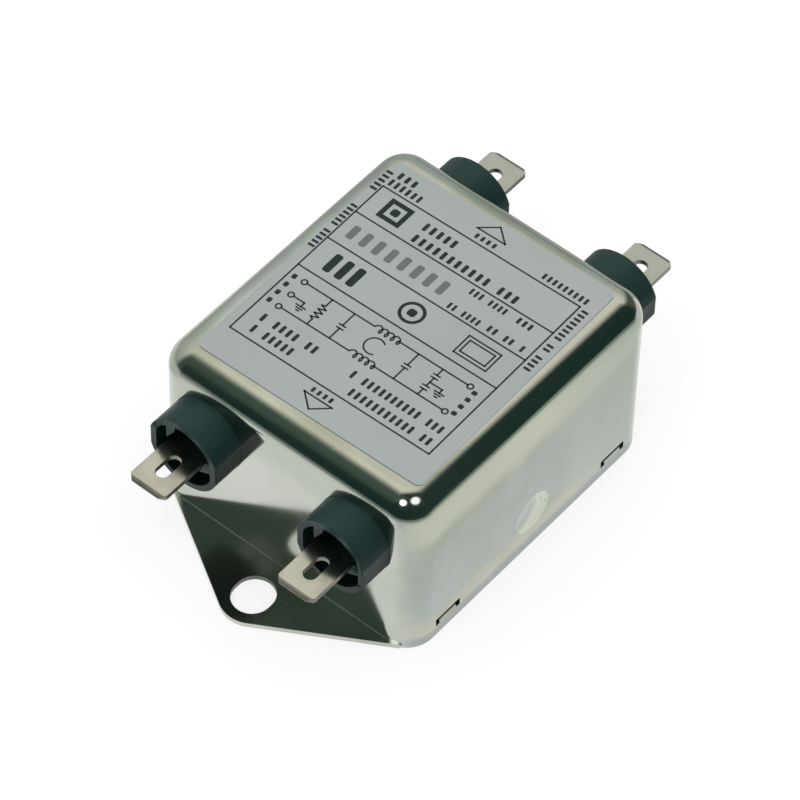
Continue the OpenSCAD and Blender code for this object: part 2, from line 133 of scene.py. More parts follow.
class Recipe:
    """The node tree of one material or of the world."""

    def __init__(self, tree: bpy.types.NodeTree) -> None:
        """Starts from an empty tree.

        Args:
            tree: the tree to fill.
        """
        self.tree = tree
        self.tree.nodes.clear()

    @classmethod
    def material(cls, name: str) -> "Recipe":
        """A recipe for a new material.

        Args:
            name: the material's name.

        Returns:
            The empty recipe.
        """
        made = bpy.data.materials.new(name)
        made.use_nodes = True
        recipe = cls(made.node_tree)
        recipe.made = made
        return recipe

    def node(self, kind: str, settings: dict | None = None, inputs: dict | None = None) -> bpy.types.Node:
        """Adds any node.

        Args:
            kind: the node's type.
            settings: its properties; "stops" is a ramp's list of (place, colour).
            inputs: values or flows by input name or number.

        Returns:
            The node.
        """
        made = self.tree.nodes.new(kind)
        for key, value in (settings or {}).items():
            if key == "stops":
                self._set_stops(made.color_ramp, value)
            else:
                setattr(made, key, value)
        for key, value in (inputs or {}).items():
            if isinstance(value, Flow):
                self.tree.links.new(value.socket, made.inputs[key])
            else:
                made.inputs[key].default_value = value
        return made

    def flow(self, kind: str, settings: dict | None = None, inputs: dict | None = None,
             output: str | int = 0) -> Flow:
        """Adds a node and returns one of its outputs.

        Args:
            kind: the node's type.
            settings: its properties.
            inputs: values or flows by input name or number.
            output: which output flows on.

        Returns:
            The output as a flow.
        """
        return Flow(self, self.node(kind, settings, inputs).outputs[output])

    @staticmethod
    def _set_stops(ramp: bpy.types.ColorRamp, stops: Sequence[tuple[float, Colour]]) -> None:
        """Lays out a colour ramp.

        Args:
            ramp: the ramp.
            stops: (place, colour) from low to high.
        """
        while len(ramp.elements) < len(stops):
            ramp.elements.new(0.5)
        for element, (place, colour) in zip(ramp.elements, stops):
            element.position = place
            element.color = (*colour, 1.0)

    def place(self, stretch: Point = (1.0, 1.0, 1.0)) -> Flow:
        """Object coordinates, stretched.

        Args:
            stretch: scale along each axis.

        Returns:
            The coordinates.
        """
        coords = self.flow("ShaderNodeTexCoord", output="Object")
        return self.flow("ShaderNodeMapping", {"vector_type": "POINT"}, {"Vector": coords, "Scale": stretch})

    def cloud(self, size_mm: float, detail: float = 3.0, stretch: Point = (1.0, 1.0, 1.0),
              rough: float = 0.5) -> Flow:
        """Soft noise with features of a given size.

        Args:
            size_mm: the size of the largest features.
            detail: octaves of finer noise.
            stretch: scale along each axis.
            rough: strength of each finer octave.

        Returns:
            Noise between 0 and 1.
        """
        return self.flow("ShaderNodeTexNoise", {},
                         {"Vector": self.place(stretch), "Scale": 1.0 / (size_mm * MM), "Detail": detail,
                          "Roughness": rough})

    def blend(self, mask: Flow, low: Colour | Flow, high: Colour | Flow) -> Flow:
        """Mixes two colours.

        Args:
            mask: 0 for low, 1 for high.
            low: the first colour.
            high: the second colour.

        Returns:
            The mixed colour.
        """
        def full(colour: Colour | Flow) -> Flow | tuple[float, float, float, float]:
            return colour if isinstance(colour, Flow) else (*colour, 1.0)
        return self.flow("ShaderNodeMix", {"data_type": "RGBA"},
                         {0: mask, 6: full(low), 7: full(high)}, output=2)

    def bump(self, height: Flow, depth_mm: float, strength: float = 1.0, under: Flow | None = None) -> Flow:
        """A normal disturbed by a height.

        Args:
            height: relief between 0 and 1.
            depth_mm: how deep the relief is.
            strength: how much of it shows.
            under: a normal that it builds on.

        Returns:
            The normal.
        """
        inputs = {"Height": height, "Distance": depth_mm * MM, "Strength": strength}
        if under is not None:
            inputs["Normal"] = under
        return self.flow("ShaderNodeBump", {}, inputs)

    def surface(self, sockets: dict) -> bpy.types.Material:
        """Ends the recipe in one Principled shader.

        Args:
            sockets: the shader's inputs.

        Returns:
            The material.
        """
        shader = self.flow("ShaderNodeBsdfPrincipled", {}, sockets)
        self.node("ShaderNodeOutputMaterial", {}, {"Surface": shader})
        return self.made


# ---------------------------------------------------------------- finishes


@dataclass(frozen=True)
class NickelPlate:
    """Bright nickel on rolled steel: a mirror, a little blurred and clouded, with hairline marks."""

    name: str
    bright: Colour = (0.575, 0.60, 0.545)
    dull: Colour = (0.455, 0.485, 0.415)
    polish: float = 0.10
    ripple_mm: float = 0.006
    # switches on painted highlights and painted shade on the case's side walls
    paints_wall_light: bool = False

    def _painted_light_and_marks(self, recipe: Recipe, colour: Flow) -> Flow:
        """The case's marks and painted light: a cool field on the side walls, a painted highlight belt near their top
        and a warm painted highlight near their foot, painted shade along the foot and on the far half, darker towards
        the top of the end walls, and a painted highlight crescent with dark pits in each dimple.

        Args:
            recipe: the material's recipe.
            colour: the plating's colour.

        Returns:
            The marked colour.
        """
        parts = recipe.node("ShaderNodeSeparateXYZ", {}, {0: recipe.place((1000, 1000, 1000))})
        x, y, z = (Flow(recipe, parts.outputs[i]) for i in range(3))
        wander = (recipe.cloud(6.0, 5.0) - 0.5) * 7.0
        wall = (x * x).ramp(19.6 ** 2, 22.3 ** 2)
        height = z + wander * 0.35
        near = 1.0 - (y + wander * 2.0).ramp(-2.0, 22.0)
        # painted highlight: a light cream belt near the top of the side walls, stronger on the near half
        painted_highlight_belt = height.ramp(20.5, 23.5) * (near * 0.7 + 0.2)
        # painted highlight: a warm lighter band near the foot of the side walls, stronger on the near half
        foot = height.ramp(1.2, 2.8) * (1.0 - height.ramp(3.8, 6.0)) * (near * 0.7 + 0.15)
        # painted shade: the lowest part of the side walls is darkened
        painted_foot_shade = 1.0 - z.ramp(1.0, 2.4)
        field = (1.0 - height.ramp(16.0, 21.0)) * height.ramp(3.5, 7.0) * near
        patch = recipe.cloud(5.0, 5.0).ramp(0.35, 0.65)
        # painted shade: the far half of the side walls is darker and greener
        painted_far_shade = recipe.blend((1.0 - near) * wall * 0.8, colour, (0.455, 0.505, 0.435))
        cool = recipe.blend(field * wall * (patch * 0.5 + 0.3), painted_far_shade, (0.50, 0.555, 0.545))
        shaded = recipe.blend(painted_foot_shade * wall * 0.8, cool, (0.36, 0.38, 0.40))
        lit = recipe.blend(painted_highlight_belt * wall * 0.85, shaded, (0.70, 0.72, 0.58))
        warm = recipe.blend(foot * wall * (0.85 - patch * 0.4), lit, (0.63, 0.62, 0.50))
        ends = (y * y).ramp(24.5 ** 2, 25.2 ** 2) * z.ramp(19.0, 24.5)
        warm = recipe.blend(ends * 0.6, warm, (0.44, 0.475, 0.41))
        rise = z - 7.0
        dish = 1.0 - (y * y + rise * rise).ramp(3.3 ** 2, 3.5 ** 2)
        off = y + 2.4
        lift = rise - 1.6
        # painted highlight: a bright crescent in each dimple, with dark pits in it
        painted_dimple_highlight = dish * (off * off + lift * lift).ramp(2.5 ** 2, 3.9 ** 2) * x.ramp(0.0, 1.0)
        pits = recipe.cloud(0.45, 1.0).ramp(0.62, 0.70)
        shine = recipe.blend(painted_dimple_highlight * wall * 0.8, warm, (0.76, 0.80, 0.66))
        return recipe.blend(painted_dimple_highlight * wall * pits * 0.6, shine, (0.36, 0.40, 0.33))

    def make(self) -> bpy.types.Material:
        """Builds the material.

        Returns:
            The finish.
        """
        recipe = Recipe.material(self.name)
        stain = recipe.cloud(14.0, 4.0, (1.0, 1.0, 0.6)).ramp(0.38, 0.66)
        speck = recipe.cloud(0.5, 2.0).ramp(0.62, 0.74)
        hair = recipe.cloud(0.25, 2.0, (1.0, 0.04, 0.3)).ramp(0.66, 0.78)
        colour = recipe.blend(stain, self.bright, self.dull)
        worn = recipe.blend(speck * 0.25, colour, self.dull)
        # the case gets painted highlights and painted shade on its walls, besides its own marks
        if self.paints_wall_light:
            worn = self._painted_light_and_marks(recipe, worn)
        rough = self.polish + stain * 0.06 + hair * 0.12 + speck * 0.05
        ripple = recipe.bump(recipe.cloud(9.0, 2.0), self.ripple_mm, 1.0)
        grain = recipe.bump(recipe.cloud(0.5, 3.0), 0.0013, 1.0, ripple)
        return recipe.surface({"Base Color": worn, "Metallic": 1.0, "Roughness": rough.clamped(),
                               "Normal": grain})


@dataclass(frozen=True)
class TinPlate:
    """Tin on brass: a soft satin with rolling lines along the strip, with painted shade on the line-end blades and on
    each blade's underside.
    """

    name: str
    clean: Colour = (0.565, 0.57, 0.515)
    dusk: Colour = (0.49, 0.485, 0.43)
    shaded: Colour = (0.43, 0.465, 0.455)
    rough: float = 0.16

    def make(self) -> bpy.types.Material:
        """Builds the material.

        Returns:
            The finish.
        """
        recipe = Recipe.material(self.name)
        cloud = recipe.cloud(3.0, 4.0).ramp(0.35, 0.7)
        lines = recipe.cloud(0.12, 2.0, (1.0, 0.06, 1.0))
        parts = recipe.node("ShaderNodeSeparateXYZ", {}, {0: recipe.place((1000, 1000, 1000))})
        y, z = Flow(recipe, parts.outputs[1]), Flow(recipe, parts.outputs[2])
        # painted shade: the line-end blades (+Y) take the darker, cooler shaded colour
        colour = recipe.blend(y.ramp(-1.0, 1.0) * 0.75, recipe.blend(cloud, self.clean, self.dusk), self.shaded)
        # painted shade: near-black below z 19.5 mm, on each blade's underside
        colour = recipe.blend(1.0 - z.ramp(19.34, 19.5), colour, (0.16, 0.165, 0.15))
        normal = recipe.bump(lines, 0.0006, 1.0)
        return recipe.surface({"Base Color": colour, "Metallic": 1.0, "Roughness": cloud * 0.06 + self.rough,
                               "Normal": normal})


@dataclass(frozen=True)
class Moulding:
    """A moulded resin with a fine spark-eroded texture; where asked, a painted lighter top stands for light from
    above.
    """

    name: str
    base: Colour
    pale: Colour
    rough: float = 0.42
    grain_mm: float = 0.12
    shine: float = 0.5
    # painted light: a lighter colour for the upper part, and the heights of its ramp
    painted_top_light: Colour | None = None
    painted_top_light_z: Spot = (17.5, 25.5)

    def make(self) -> bpy.types.Material:
        """Builds the material.

        Returns:
            The finish.
        """
        recipe = Recipe.material(self.name)
        cloud = recipe.cloud(2.5, 3.0).ramp(0.35, 0.7)
        grain = recipe.cloud(self.grain_mm, 2.0)
        colour = recipe.blend(cloud, self.base, self.pale)
        # painted light: the upper part is lighter, as if lit from above
        if self.painted_top_light:
            parts = recipe.node("ShaderNodeSeparateXYZ", {}, {0: recipe.place((1000, 1000, 1000))})
            colour = recipe.blend(Flow(recipe, parts.outputs[2]).ramp(*self.painted_top_light_z), colour, self.painted_top_light)
        normal = recipe.bump(grain, 0.003, 0.8)
        return recipe.surface({"Base Color": colour, "Roughness": cloud * 0.1 + self.rough,
                               "Normal": normal, "Specular IOR Level": self.shine})


@dataclass(frozen=True)
class SilverFilm:
    """A matt silver-grey label film with a very fine tooth."""

    name: str
    face: Colour = (0.425, 0.468, 0.458)
    shade: Colour = (0.400, 0.442, 0.434)

    def make(self) -> bpy.types.Material:
        """Builds the material.

        Returns:
            The finish.
        """
        recipe = Recipe.material(self.name)
        cloud = recipe.cloud(12.0, 3.0).ramp(0.3, 0.7)
        tooth = recipe.cloud(0.08, 1.0)
        normal = recipe.bump(tooth, 0.001, 0.6)
        return recipe.surface({"Base Color": recipe.blend(cloud, self.face, self.shade),
                               "Roughness": cloud * 0.05 + 0.5, "Normal": normal,
                               "Specular IOR Level": 0.25})


@dataclass(frozen=True)
class PrintInk:
    """Thermal-transfer ink: nearly even, with slightly thin patches."""

    name: str
    solid: Colour
    thin: Colour

    def make(self) -> bpy.types.Material:
        """Builds the material.

        Returns:
            The finish.
        """
        recipe = Recipe.material(self.name)
        patch = recipe.cloud(0.7, 2.0).ramp(0.5, 0.8)
        return recipe.surface({"Base Color": recipe.blend(patch, self.solid, self.thin),
                               "Roughness": patch * 0.1 + 0.5, "Specular IOR Level": 0.25})


@dataclass(frozen=True)
class Enamel:
    """Enamelled copper wire: metal under a thin clear coat."""

    name: str
    deep: Colour = (0.42, 0.15, 0.05)
    light: Colour = (0.62, 0.27, 0.10)

    def make(self) -> bpy.types.Material:
        """Builds the material.

        Returns:
            The finish.
        """
        recipe = Recipe.material(self.name)
        cloud = recipe.cloud(2.0, 2.0)
        return recipe.surface({"Base Color": recipe.blend(cloud, self.deep, self.light), "Metallic": 1.0,
                               "Roughness": cloud * 0.1 + 0.25, "Coat Weight": 0.6})


@dataclass(frozen=True)
class Sintered:
    """A pressed and fired or fibrous body: even, with a fine speckle."""

    name: str
    base: Colour
    speckle: Colour
    rough: float = 0.6
    size_mm: float = 0.3

    def make(self) -> bpy.types.Material:
        """Builds the material.

        Returns:
            The finish.
        """
        recipe = Recipe.material(self.name)
        speck = recipe.cloud(self.size_mm, 2.0).ramp(0.5, 0.75)
        normal = recipe.bump(speck, 0.004, 0.8)
        return recipe.surface({"Base Color": recipe.blend(speck, self.base, self.speckle),
                               "Roughness": speck * 0.1 + self.rough, "Normal": normal})


class Finish(Enum):
    """The finishes of this object by name."""

    CASE = NickelPlate("case_nickel", paints_wall_light=True)
    PLATE = NickelPlate("plate_nickel", bright=(0.57, 0.59, 0.535), dull=(0.45, 0.48, 0.41), polish=0.13)
    EDGE = NickelPlate("edge_nickel", bright=(0.50, 0.55, 0.48), dull=(0.30, 0.34, 0.28), polish=0.5)
    BLADE = TinPlate("blade_tin")
    BLADE_EDGE = TinPlate("blade_sheared_tin", (0.33, 0.315, 0.265), (0.20, 0.19, 0.155), (0.25, 0.25, 0.22), 0.34)
    BUSHING = Moulding("bushing_resin", (0.001, 0.012, 0.008), (0.004, 0.018, 0.013), 0.34, shine=0.23,
                       painted_top_light=(0.014, 0.043, 0.040))
    SHEARED = NickelPlate("sheared_steel_painted_shade", bright=(0.16, 0.17, 0.15), dull=(0.10, 0.11, 0.10), polish=0.4)
    FILM = SilverFilm("label_silver")
    INK = PrintInk("label_ink", (0.012, 0.028, 0.028), (0.030, 0.052, 0.052))
    GREY_INK = PrintInk("label_grey_ink", (0.150, 0.180, 0.184), (0.175, 0.205, 0.210))
    FERRITE = Sintered("choke_ferrite", (0.020, 0.020, 0.022), (0.045, 0.045, 0.048), 0.45)
    RING_CASE = Moulding("ring_case_nylon", (0.020, 0.045, 0.036), (0.030, 0.060, 0.048), 0.5)
    BOARD = Sintered("pressboard", (0.68, 0.62, 0.45), (0.52, 0.46, 0.32), 0.75, 0.5)
    COPPER = Enamel("winding_enamel")
    BOX = Moulding("capacitor_box", (0.78, 0.46, 0.03), (0.84, 0.54, 0.06), 0.3)
    DISC = Moulding("capacitor_disc", (0.025, 0.095, 0.32), (0.04, 0.13, 0.38), 0.3)
    RESISTOR = Moulding("resistor_lacquer", (0.21, 0.36, 0.53), (0.27, 0.43, 0.60), 0.3)

    def material(self) -> bpy.types.Material:
        """The finish's material, made when it is first asked for."""
        return bpy.data.materials.get(self.value.name) or self.value.make()


# ---------------------------------------------------------------- bench


class Pick(Enum):
    """What a selection takes in edit mode."""

    VERTS = "VERT"
    EDGES = "EDGE"
    FACES = "FACE"


class Join(Enum):
    """How two solids are combined."""

    CUT = "DIFFERENCE"
    WELD = "UNION"
    KEEP = "INTERSECT"


Test = Callable[[Vector, Vector], bool]


class Bench:
    """Hand tools for mesh work. Sizes come in millimetres."""

    @staticmethod
    def hold(obj: bpy.types.Object) -> None:
        """Selects one object alone and makes it active."""
        bpy.ops.object.select_all(action="DESELECT")
        obj.select_set(True)
        bpy.context.view_layer.objects.active = obj

    @staticmethod
    def _added(name: str) -> bpy.types.Object:
        """Names the primitive just added and fixes its place in its mesh."""
        obj = bpy.context.active_object
        obj.name = name
        obj.data.name = name
        Bench.hold(obj)
        bpy.ops.object.transform_apply(location=True, rotation=True, scale=True)
        return obj

    @staticmethod
    def block(name: str, low: Point, high: Point) -> bpy.types.Object:
        """A box between two corners.

        Args:
            name: its name.
            low: the lowest corner.
            high: the highest corner.

        Returns:
            The box.
        """
        bpy.ops.object.select_all(action="DESELECT")
        middle = [(a + b) / 2 * MM for a, b in zip(low, high)]
        bpy.ops.mesh.primitive_cube_add(size=1.0, location=middle)
        bpy.context.active_object.scale = [(b - a) * MM for a, b in zip(low, high)]
        return Bench._added(name)

    @staticmethod
    def rod(name: str, foot: Point, length: float, radius: float, towards: Point = (0, 0, 1),
            sides: int = 96) -> bpy.types.Object:
        """A cylinder.

        Args:
            name: its name.
            foot: the middle of its first end.
            length: its length.
            radius: its radius.
            towards: its direction.
            sides: facets round it.

        Returns:
            The cylinder.
        """
        bpy.ops.object.select_all(action="DESELECT")
        way = Vector(towards).normalized()
        middle = (Vector(foot) + way * length / 2) * MM
        bpy.ops.mesh.primitive_cylinder_add(vertices=sides, radius=radius * MM, depth=length * MM,
                                            location=middle, rotation=way.to_track_quat("Z", "Y").to_euler())
        return Bench._added(name)

    @staticmethod
    def ball(name: str, centre: Point, radius: float) -> bpy.types.Object:
        """A fine sphere with its poles on the X axis.

        Args:
            name: its name.
            centre: its centre.
            radius: its radius.

        Returns:
            The sphere.
        """
        bpy.ops.object.select_all(action="DESELECT")
        bpy.ops.mesh.primitive_uv_sphere_add(segments=96, ring_count=192, radius=radius * MM,
                                             location=Vector(centre) * MM, rotation=(0, math.pi / 2, 0))
        return Bench._added(name)

    @staticmethod
    def pick(obj: bpy.types.Object, what: Pick, test: Test) -> None:
        """Opens edit mode with only some elements selected.

        Args:
            obj: the piece.
            what: vertices, edges or faces.
            test: takes a centre in millimetres and a normal (or an edge's direction).
        """
        Bench.hold(obj)
        bpy.ops.object.mode_set(mode="EDIT")
        bpy.ops.mesh.select_mode(type=what.value)
        bpy.ops.mesh.select_all(action="DESELECT")
        bpy.ops.object.mode_set(mode="OBJECT")
        mesh = obj.data
        if what is Pick.VERTS:
            for vert in mesh.vertices:
                vert.select = test(vert.co / MM, vert.normal)
        elif what is Pick.FACES:
            for face in mesh.polygons:
                face.select = test(face.center / MM, face.normal)
        else:
            for edge in mesh.edges:
                a, b = (mesh.vertices[i].co for i in edge.vertices)
                edge.select = test((a + b) / 2 / MM, (b - a).normalized())
        bpy.ops.object.mode_set(mode="EDIT")

    @staticmethod
    def done() -> None:
        """Leaves edit mode."""
        bpy.ops.object.mode_set(mode="OBJECT")

    @staticmethod
    def round_edges(obj: bpy.types.Object, radius: float, segments: int, test: Test) -> None:
        """Rounds chosen edges.

        Args:
            obj: the piece.
            radius: the round's radius, or the cut's width with one segment.
            segments: how many facets it gets.
            test: picks the edges.
        """
        Bench.pick(obj, Pick.EDGES, test)
        bpy.ops.mesh.bevel(offset=radius * MM, segments=segments, profile=0.5, affect="EDGES",
                           clamp_overlap=False)
        Bench.done()

    @staticmethod
    def shift(obj: bpy.types.Object, move: Point, test: Test) -> None:
        """Moves chosen vertices.

        Args:
            obj: the piece.
            move: how far, in millimetres.
            test: picks the vertices.
        """
        Bench.pick(obj, Pick.VERTS, test)
        bpy.ops.transform.translate(value=Vector(move) * MM)
        Bench.done()

    @staticmethod
    def slice(obj: bpy.types.Object, place: Point, across: Point) -> None:
        """Adds a cut line round a piece, so that shading holds on each side of it.

        Args:
            obj: the piece.
            place: a point on the cutting plane, in millimetres.
            across: the plane's normal.
        """
        Bench.pick(obj, Pick.FACES, lambda c, n: True)
        bpy.ops.mesh.bisect(plane_co=Vector(place) * MM, plane_no=across)
        Bench.done()

    @staticmethod
    def finish_with(obj: bpy.types.Object, kind: str, **settings: object) -> None:
        """Adds a modifier and applies it.

        Args:
            obj: the piece.
            kind: the modifier's type.
            settings: its properties.
        """
        Bench.hold(obj)
        modifier = obj.modifiers.new(kind.lower(), kind)
        for key, value in settings.items():
            setattr(modifier, key, value)
        bpy.ops.object.modifier_apply(modifier=modifier.name)

    @staticmethod
    def combine(obj: bpy.types.Object, tools: Iterable[bpy.types.Object], how: Join = Join.CUT) -> None:
        """Combines a piece with tools, which are used up.

        Args:
            obj: the piece.
            tools: the other solids.
            how: cut, weld or keep.
        """
        for tool in tools:
            Bench.finish_with(obj, "BOOLEAN", object=tool, operation=how.value, solver="EXACT")
            bpy.data.objects.remove(tool)

    @staticmethod
    def copy(obj: bpy.types.Object, name: str, turn_deg: float = 0.0, move: Point = (0, 0, 0)) -> bpy.types.Object:
        """A copy with a mesh of its own, turned about Z and then moved.

        Args:
            obj: what is copied.
            name: the copy's name.
            turn_deg: the turn in degrees.
            move: the move in millimetres.

        Returns:
            The copy.
        """
        twin = obj.copy()
        twin.data = obj.data.copy()
        twin.name = name
        twin.data.name = name
        bpy.context.scene.collection.objects.link(twin)
        twin.data.transform(Matrix.Translation(Vector(move) * MM) @ Matrix.Rotation(math.radians(turn_deg), 4, "Z"))
        return twin

    @staticmethod
    def merge(name: str, parts: Sequence[bpy.types.Object]) -> bpy.types.Object:
        """Joins loose parts into one piece.

        Args:
            name: the piece's name.
            parts: the parts; the first one stays.

        Returns:
            The piece.
        """
        Bench.hold(parts[0])
        for part in parts[1:]:
            part.select_set(True)
        bpy.ops.object.join()
        parts[0].name = name
        parts[0].data.name = name
        return parts[0]

    @staticmethod
    def smooth(obj: bpy.types.Object, angle_deg: float = 35.0, even: bool = True, weight: int = 100) -> None:
        """Shades rounds smooth and keeps flats flat.

        Args:
            obj: the piece.
            angle_deg: edges sharper than this stay sharp.
            even: whether large faces hold their own normals.
            weight: how far the largest face wins, 50 for an average by area.
        """
        Bench.hold(obj)
        bpy.ops.object.shade_smooth_by_angle(angle=math.radians(angle_deg))
        if even:
            Bench.finish_with(obj, "WEIGHTED_NORMAL", keep_sharp=True, weight=weight)

    @staticmethod
    def tidy(obj: bpy.types.Object) -> None:
        """Merges the flat faces that solids left in one plane."""
        Bench.pick(obj, Pick.VERTS, lambda c, n: True)
        bpy.ops.mesh.remove_doubles(threshold=0.001 * MM)
        bpy.ops.mesh.dissolve_limited(angle_limit=math.radians(0.5))
        Bench.done()

    @staticmethod
    def flatten(obj: bpy.types.Object) -> None:
        """Gives level and upright faces a flat shade of their own."""
        Bench.pick(obj, Pick.FACES, lambda c, n: max(abs(n.x), abs(n.y), abs(n.z)) > 0.99999)
        bpy.ops.mesh.faces_shade_flat()
        Bench.done()

    @staticmethod
    def dress(obj: bpy.types.Object, finish: Finish) -> None:
        """Gives a piece one finish all over."""
        obj.data.materials.clear()
        obj.data.materials.append(finish.material())

    @staticmethod
    def dress_part(obj: bpy.types.Object, finish: Finish, test: Test) -> None:
        """Gives some faces of a dressed piece another finish.

        Args:
            obj: the piece.
            finish: the other finish.
            test: picks the faces.
        """
        obj.data.materials.append(finish.material())
        Bench.pick(obj, Pick.FACES, test)
        obj.active_material_index = len(obj.data.materials) - 1
        bpy.ops.object.material_slot_assign()
        Bench.done()


class Piece:
    """Books a finished piece into the frame."""

    @staticmethod
    def settle(obj: bpy.types.Object, finish: Finish, slot: str, *stands_for: str) -> None:
        """Dresses a piece, ties it to the body and hides the CAD nodes that it stands for.

        Args:
            obj: the piece.
            finish: its finish.
            slot: the record's material slot; not used.
            stands_for: CAD nodes that it replaces.
        """
        Bench.dress(obj, finish)
        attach(obj, "root")
        if stands_for:
            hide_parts(*stands_for)
        log.info("%s: %d faces, %s", obj.name, len(obj.data.polygons), finish.value.name)


# ---------------------------------------------------------------- sub-assemblies


@dataclass
class CaseSizes:
    """What the CAD boxes say about the case, in millimetres."""

    half_x: float
    half_y: float
    top: float
    sheet: float = 0.8
    edge_r: float = 4.1
    corner_r: float = 4.6

    @classmethod
    def from_frame(cls) -> "CaseSizes":
        """Reads the case's box from the frame.

        Returns:
            The sizes.
        """
        low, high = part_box("can")
        return cls(half_x=high.x / MM, half_y=high.y / MM, top=high.z / MM)


@dataclass
class DrawnCase:
    """The drawn steel can."""

    sizes: CaseSizes
    terminal_x: float = 12.88
    terminal_z: float = 19.7
    bush_hole_r: float = 6.0
    bush_hole_flat: float = 5.75
    notch_half: float = 20.45
    notch_h: float = 0.8
    slot_y: float = 17.7
    slot_half: float = 2.5
    slot_z: tuple[float, float] = (1.9, 3.3)
    foot_r: float = 0.12
    dimple_z: float = 7.0
    dimple_r: float = 3.5
    dimple_depth: float = 0.35
    facets: int = 20

    def _shell(self) -> bpy.types.Object:
        """Draws the open shell: a block with rounded uprights and top edge, hollow from below.

        Returns:
            The shell.
        """
        s = self.sizes
        shell = Bench.block("case", (-s.half_x, -s.half_y, 0), (s.half_x, s.half_y, s.top))
        Bench.round_edges(shell, s.corner_r, self.facets, lambda c, d: abs(d.z) > 0.99)
        Bench.round_edges(shell, s.edge_r, self.facets, lambda c, d: c.z > s.top - 0.01)
        Bench.pick(shell, Pick.FACES, lambda c, n: n.z < -0.9)
        bpy.ops.mesh.delete(type="FACE")
        Bench.done()
        Bench.finish_with(shell, "SOLIDIFY", thickness=s.sheet * MM, offset=-1.0, use_even_offset=True)
        return shell

    def _cutters(self) -> list[bpy.types.Object]:
        """The tools that open the bushing holes, latch slots and ear notches.

        Returns:
            The tools.
        """
        s = self.sizes
        tools = []
        for side in (-1, 1):
            for end in (-1, 1):
                middle = side * self.terminal_x
                hole = Bench.rod("hole_tool", (middle, end * (s.half_y - 2), self.terminal_z),
                                 4.0, self.bush_hole_r, (0, end, 0))
                Bench.combine(hole, [Bench.block("flats", (middle - self.bush_hole_flat, -99, 0),
                                                 (middle + self.bush_hole_flat, 99, 99))], Join.KEEP)
                tools.append(hole)
                x = side * s.half_x
                y = end * self.slot_y
                tools.append(Bench.block("slot_tool", (x - 2, y - self.slot_half, self.slot_z[0]),
                                         (x + 2, y + self.slot_half, self.slot_z[1])))
        for end in (-1, 1):
            near, far = sorted((end * (s.half_y - 6), end * (s.half_y + 1)))
            tools.append(Bench.block("notch_tool", (-self.notch_half, near, -1), (self.notch_half, far, self.notch_h)))
        return tools

    def _dimple_tools(self) -> list[bpy.types.Object]:
        """Large balls that press the shallow round dimples.

        Returns:
            The tools.
        """
        ball_r = (self.dimple_r ** 2 + self.dimple_depth ** 2) / (2 * self.dimple_depth)
        away = self.sizes.half_x - self.dimple_depth + ball_r
        return [Bench.ball("dimple_tool", (side * away, 0, self.dimple_z), ball_r) for side in (-1, 1)]

    def _feet(self) -> None:
        """Lays the thin sheared edge that shows where each end wall stands on an ear."""
        half = self.sizes.half_x - self.sizes.corner_r + 0.3
        rods = [Bench.rod("foot", (-half, end * (self.sizes.half_y - 0.02), self.notch_h + self.foot_r), 2 * half,
                          self.foot_r, (1, 0, 0), 16) for end in (-1, 1)]
        for rod in rods:
            Bench.smooth(rod, 40.0, even=False)
        Piece.settle(Bench.merge("case_sheared_edges", rods), Finish.EDGE, "case_steel")

    def build(self) -> None:
        """Models the case and books it in."""
        case = self._shell()
        Bench.combine(case, self._cutters())
        Bench.combine(case, self._dimple_tools())
        Bench.smooth(case, 32.0)
        Piece.settle(case, Finish.CASE, "case_steel", "can")
        self._feet()


